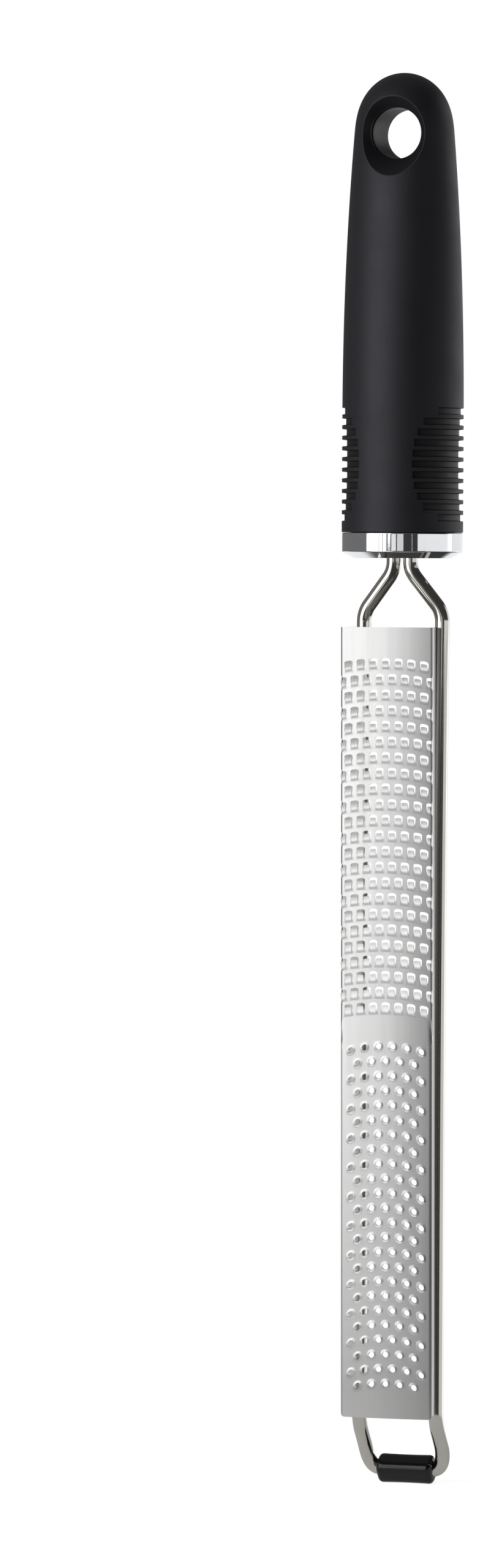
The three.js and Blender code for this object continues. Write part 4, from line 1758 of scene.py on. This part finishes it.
@dataclass(frozen=True)
class Foot:
    """Rubber sleeve on the cross bar, square with round edges, which leans with the legs."""

    rod: FrameRod = FrameRod()
    length: float = 15.8
    half_height: float = 3.4
    edge: float = 2.3
    end_rounding: float = 1.3
    flare: float = 0.12
    rod_gap: float = 0.03
    corner_steps: int = 8
    end_steps: int = 6
    middle_steps: int = 8
    sharp_degrees: float = 50.0

    def section(self) -> Array:
        """Outline of a square with round corners.

        Returns:
            Points in mm round the middle, two numbers each.
        """
        quarter = np.linspace(0.0, np.pi / 2, self.corner_steps + 1)
        turns = np.concatenate([quarter + k * np.pi / 2 for k in range(4)])
        centre = np.repeat([[1, 1], [-1, 1], [-1, -1], [1, -1]], self.corner_steps + 1, axis=0)
        flat = self.half_height - self.edge
        return centre * flat + self.edge * np.stack([np.cos(turns), np.sin(turns)], axis=-1)

    def build(self) -> bpy.types.Object:
        """Build the foot.

        The section grows towards the ends by a parabola and shrinks again in the rounded ends. The
        hole follows the bar.

        Returns:
            The foot's object.
        """
        section = self.section()
        half = self.length / 2
        rounding = self.end_rounding
        turn = np.linspace(0.0, np.pi / 2, self.end_steps + 1)
        middle_x = np.linspace(0.0, half - rounding, self.middle_steps + 1)[:-1]
        x = np.concatenate([middle_x, half - rounding + rounding * np.sin(turn)])
        inset = np.concatenate([np.zeros_like(middle_x), rounding * (1.0 - np.cos(turn))])
        x = np.concatenate([-x[:0:-1], x])[:, None]
        inset = np.concatenate([inset[:0:-1], inset])[:, None]
        grow = 1.0 + (self.flare * (x / half) ** 2 - inset) / self.half_height
        lean = math.radians(self.rod.leg_angle)
        bar = self.rod.cross_bar()
        across = section[:, 0] * math.cos(lean) - section[:, 1] * math.sin(lean)
        up = section[:, 0] * math.sin(lean) + section[:, 1] * math.cos(lean)
        outside = np.broadcast_arrays(x, bar[1] + grow * across, bar[2] + grow * up)
        hole_x = np.array([half, 0.0, -half])[:, None]
        hole_y, hole_z = self.rod.bar_place(hole_x)
        spoke = np.arctan2(up, across)
        bore = self.rod.radius + self.rod_gap
        inside = np.broadcast_arrays(hole_x, hole_y + bore * np.cos(spoke), hole_z + bore * np.sin(spoke))
        rings = [np.stack(places, axis=-1) for places in (outside, inside)]
        shell = Shell()
        shell.add_grid(np.concatenate([*rings, rings[0][:1]]))
        return place_piece(shell, "foot", [GLOSS_RUBBER], self.sharp_degrees)


# Studio


@dataclass(frozen=True)
class Softbox:
    """Large soft lamp that faces the object, with angles in degrees and sizes in metres."""

    name: str
    azimuth: float
    elevation: float
    width: float
    height: float
    brightness: float

    def place(self, target: Vector, distance: float) -> None:
        """Put the lamp into the scene.

        Its power is pi times its area times its brightness, so that its size doesn't change how bright
        it looks.

        Args:
            target: Point that it faces.
            distance: Distance from that point in metres.
        """
        lamp = bpy.data.lights.new(self.name, "AREA")
        lamp.shape = "RECTANGLE"
        lamp.size = self.width
        lamp.size_y = self.height
        lamp.energy = math.pi * self.width * self.height * self.brightness
        turn, rise = math.radians(self.azimuth), math.radians(self.elevation)
        level = math.cos(rise)
        back = Vector((math.sin(turn) * level, -math.cos(turn) * level, math.sin(rise)))
        softbox = bpy.data.objects.new(self.name, lamp)
        softbox.location = target + distance * back
        softbox.rotation_mode = "QUATERNION"
        softbox.rotation_quaternion = (-back).to_track_quat("-Z", "Y")
        softbox.visible_camera = False
        bpy.context.scene.collection.objects.link(softbox)


@dataclass(frozen=True)
class Studio:
    """Pale floor, white backdrop, soft lamps and the camera at the photograph's angle, in metres."""

    middle_height: float = -0.176
    floor_height: float = -0.3692
    floor_radius: float = 0.14
    floor_rings: tuple[float, ...] = (0.0, 0.05, 0.12)
    floor_columns: int = 96
    floor_colour: str = "#f4f4f2"
    floor_glow: float = 0.85
    floor_mirror_glow: float = 0.25
    backdrop_start: float = 0.35
    backdrop_full: float = 0.6
    band_slant: float = -0.5
    band_middle: float = -0.15
    band_full: float = 0.2
    band_end: float = 0.4
    room_slant: float = -0.5
    room_light_end: float = -0.3
    room_dark_start: float = 0.2
    room_level: float = 0.19
    dark_level: float = 0.05
    azimuth: float = 18.5
    distance: float = 2.3782
    eye_height: float = -0.12037
    aim_height: float = -0.17737
    aim_left: float = 0.043
    roll: float = -0.29
    lens: float = 200.0
    sensor: float = 36.0
    lamp_distance: float = 1.3
    # Each lamp's name, azimuth, elevation, width, height and brightness
    lamps: tuple[Softbox, ...] = (
        Softbox("softbox_left", -40.5, 14.2, 0.62, 1.2, 1.75),
        Softbox("panel_outer", -23.2, 14.2, 0.15, 1.2, 1.7),
        Softbox("panel_middle", -15.5, 14.2, 0.15, 1.2, 1.7),
        Softbox("panel_inner", -7.0, 19.0, 0.12, 0.75, 1.8),
        Softbox("panel_low", -8.0, -31.0, 0.25, 0.7, 0.8),
        Softbox("panel_under", -30.0, -34.0, 0.9, 0.66, 1.45),
        Softbox("strip_front", 2.0, 3.1, 0.2, 0.06, 0.9),
        Softbox("strip_camera", 14.5, 3.1, 0.27, 0.06, 0.75),
        Softbox("thin_strip_right", 37.0, 0.0, 0.016, 0.5, 0.8),
        Softbox("side_strip_right", 88.0, 3.1, 2.18, 0.06, 1.0),
        Softbox("rear_softbox_right", 110.0, -8.2, 2.7, 0.44, 0.72),
    )

    def build_world(self) -> None:
        """White backdrop in a dim room.

        The camera sees plain white. Mirrors see white in a band behind the object that climbs to the
        right, and elsewhere the room, which gets darker to the right and below.
        """
        world = bpy.data.worlds.new("studio")
        bpy.context.scene.world = world
        tree = cleared_tree(world)
        direction = add_node(tree, "ShaderNodeTexCoord").outputs["Generated"]
        x, y, z = add_node(tree, "ShaderNodeSeparateXYZ", {0: direction}).outputs
        behind = add_node(
            tree,
            "ShaderNodeMapRange",
            {"Value": y, "From Min": self.backdrop_start, "From Max": self.backdrop_full},
            interpolation_type="SMOOTHSTEP",
        )
        slanted = add_node(
            tree, "ShaderNodeMath", {0: x, 1: self.band_slant, 2: z}, operation="MULTIPLY_ADD"
        )
        from_middle = add_node(
            tree, "ShaderNodeMath", {0: slanted.outputs[0], 1: self.band_middle}, operation="SUBTRACT"
        )
        off = add_node(tree, "ShaderNodeMath", {0: from_middle.outputs[0]}, operation="ABSOLUTE")
        in_band = add_node(
            tree,
            "ShaderNodeMapRange",
            {
                "Value": off.outputs[0],
                "From Min": self.band_full,
                "From Max": self.band_end,
                "To Min": 1.0,
                "To Max": 0.0,
            },
            interpolation_type="SMOOTHSTEP",
        )
        backdrop = add_node(
            tree, "ShaderNodeMath", {0: behind.outputs[0], 1: in_band.outputs[0]}, operation="MULTIPLY"
        )
        tilted = add_node(
            tree, "ShaderNodeMath", {0: z, 1: self.room_slant, 2: x}, operation="MULTIPLY_ADD"
        )
        room = add_node(
            tree,
            "ShaderNodeMapRange",
            {
                "Value": tilted.outputs[0],
                "From Min": self.room_light_end,
                "From Max": self.room_dark_start,
                "To Min": self.room_level,
                "To Max": self.dark_level,
            },
        )
        rays = add_node(tree, "ShaderNodeLightPath").outputs
        white = add_node(
            tree,
            "ShaderNodeMath",
            {0: rays["Is Glossy Ray"], 1: backdrop.outputs[0], 2: rays["Is Camera Ray"]},
            operation="MULTIPLY_ADD",
            use_clamp=True,
        )
        strength = add_node(
            tree,
            "ShaderNodeMapRange",
            {"Value": white.outputs[0], "To Min": room.outputs[0], "To Max": 1.0},
        )
        light = {"Color": (1.0, 1.0, 1.0, 1.0), "Strength": strength.outputs[0]}
        glow = add_node(tree, "ShaderNodeBackground", light)
        add_node(tree, "ShaderNodeOutputWorld", {"Surface": glow.outputs[0]})

    def build_floor(self) -> None:
        """Pale round floor under the foot, as white as the backdrop but for the object's shadow."""
        turn = 2 * np.pi * np.arange(self.floor_columns) / self.floor_columns
        radii = np.array([*self.floor_rings, self.floor_radius]) / MM
        shell = Shell()
        shell.add_grid(np.stack([turned_ring(radius, self.floor_height / MM, turn) for radius in radii]))
        mesh = shell.mesh("floor", SHARP_DEGREES)
        if mesh.polygons[0].normal.z < 0.0:
            mesh.flip_normals()
        material = bpy.data.materials.new("pale_floor")
        tree = cleared_tree(material)
        rays = add_node(tree, "ShaderNodeLightPath").outputs
        matte = add_node(tree, "ShaderNodeBsdfDiffuse", {"Color": linear(self.floor_colour)})
        mirrored = add_node(
            tree,
            "ShaderNodeMath",
            {0: rays["Is Glossy Ray"], 1: self.floor_mirror_glow},
            operation="MULTIPLY",
        )
        seen = add_node(
            tree,
            "ShaderNodeMath",
            {0: rays["Is Camera Ray"], 1: self.floor_glow, 2: mirrored.outputs[0]},
            operation="MULTIPLY_ADD",
        )
        glow = add_node(tree, "ShaderNodeEmission", {"Strength": seen.outputs[0]})
        both = add_node(tree, "ShaderNodeAddShader", {0: matte.outputs[0], 1: glow.outputs[0]})
        add_node(tree, "ShaderNodeOutputMaterial", {"Surface": both.outputs[0]})
        mesh.materials.append(material)
        floor = bpy.data.objects.new("floor", mesh)
        bpy.context.scene.collection.objects.link(floor)

    def build_camera(self) -> None:
        """Camera in front and to the right, a little above the blade."""
        turn = math.radians(self.azimuth)
        place = Vector((self.distance * math.sin(turn), -self.distance * math.cos(turn), self.eye_height))
        right = Vector((math.cos(turn), math.sin(turn), 0.0))
        aim = Vector((0.0, 0.0, self.aim_height)) - self.aim_left * right
        forward = (aim - place).normalized()
        level_right = forward.cross(Vector((0.0, 0.0, 1.0))).normalized()
        rotation = Matrix.Rotation(math.radians(self.roll), 3, forward)
        true_right = rotation @ level_right
        true_up = rotation @ level_right.cross(forward)
        camera_data = bpy.data.cameras.new("camera")
        camera_data.lens = self.lens
        camera_data.sensor_width = self.sensor
        camera = bpy.data.objects.new("camera", camera_data)
        axes = Matrix((true_right, true_up, -forward)).transposed()
        camera.matrix_world = Matrix.Translation(place) @ axes.to_4x4()
        bpy.context.scene.collection.objects.link(camera)
        bpy.context.scene.camera = camera

    def build(self) -> None:
        """Build the whole studio."""
        bpy.context.scene.view_settings.view_transform = "Standard"
        self.build_world()
        self.build_floor()
        for lamp in self.lamps:
            lamp.place(Vector((0.0, 0.0, self.middle_height)), self.lamp_distance)
        self.build_camera()


def main() -> None:
    """Build all pieces and the studio, and note the size."""
    logging.basicConfig(level=logging.INFO, format="%(message)s")
    for part in (Grip(), HandleCore(), Collar(), FrameRod(), Blade(), Foot()):
        piece = part.build()
        LOG.info("%s: %d faces", piece.name, len(piece.data.polygons))
    Studio().build()


if __name__ == "__main__":
    main()
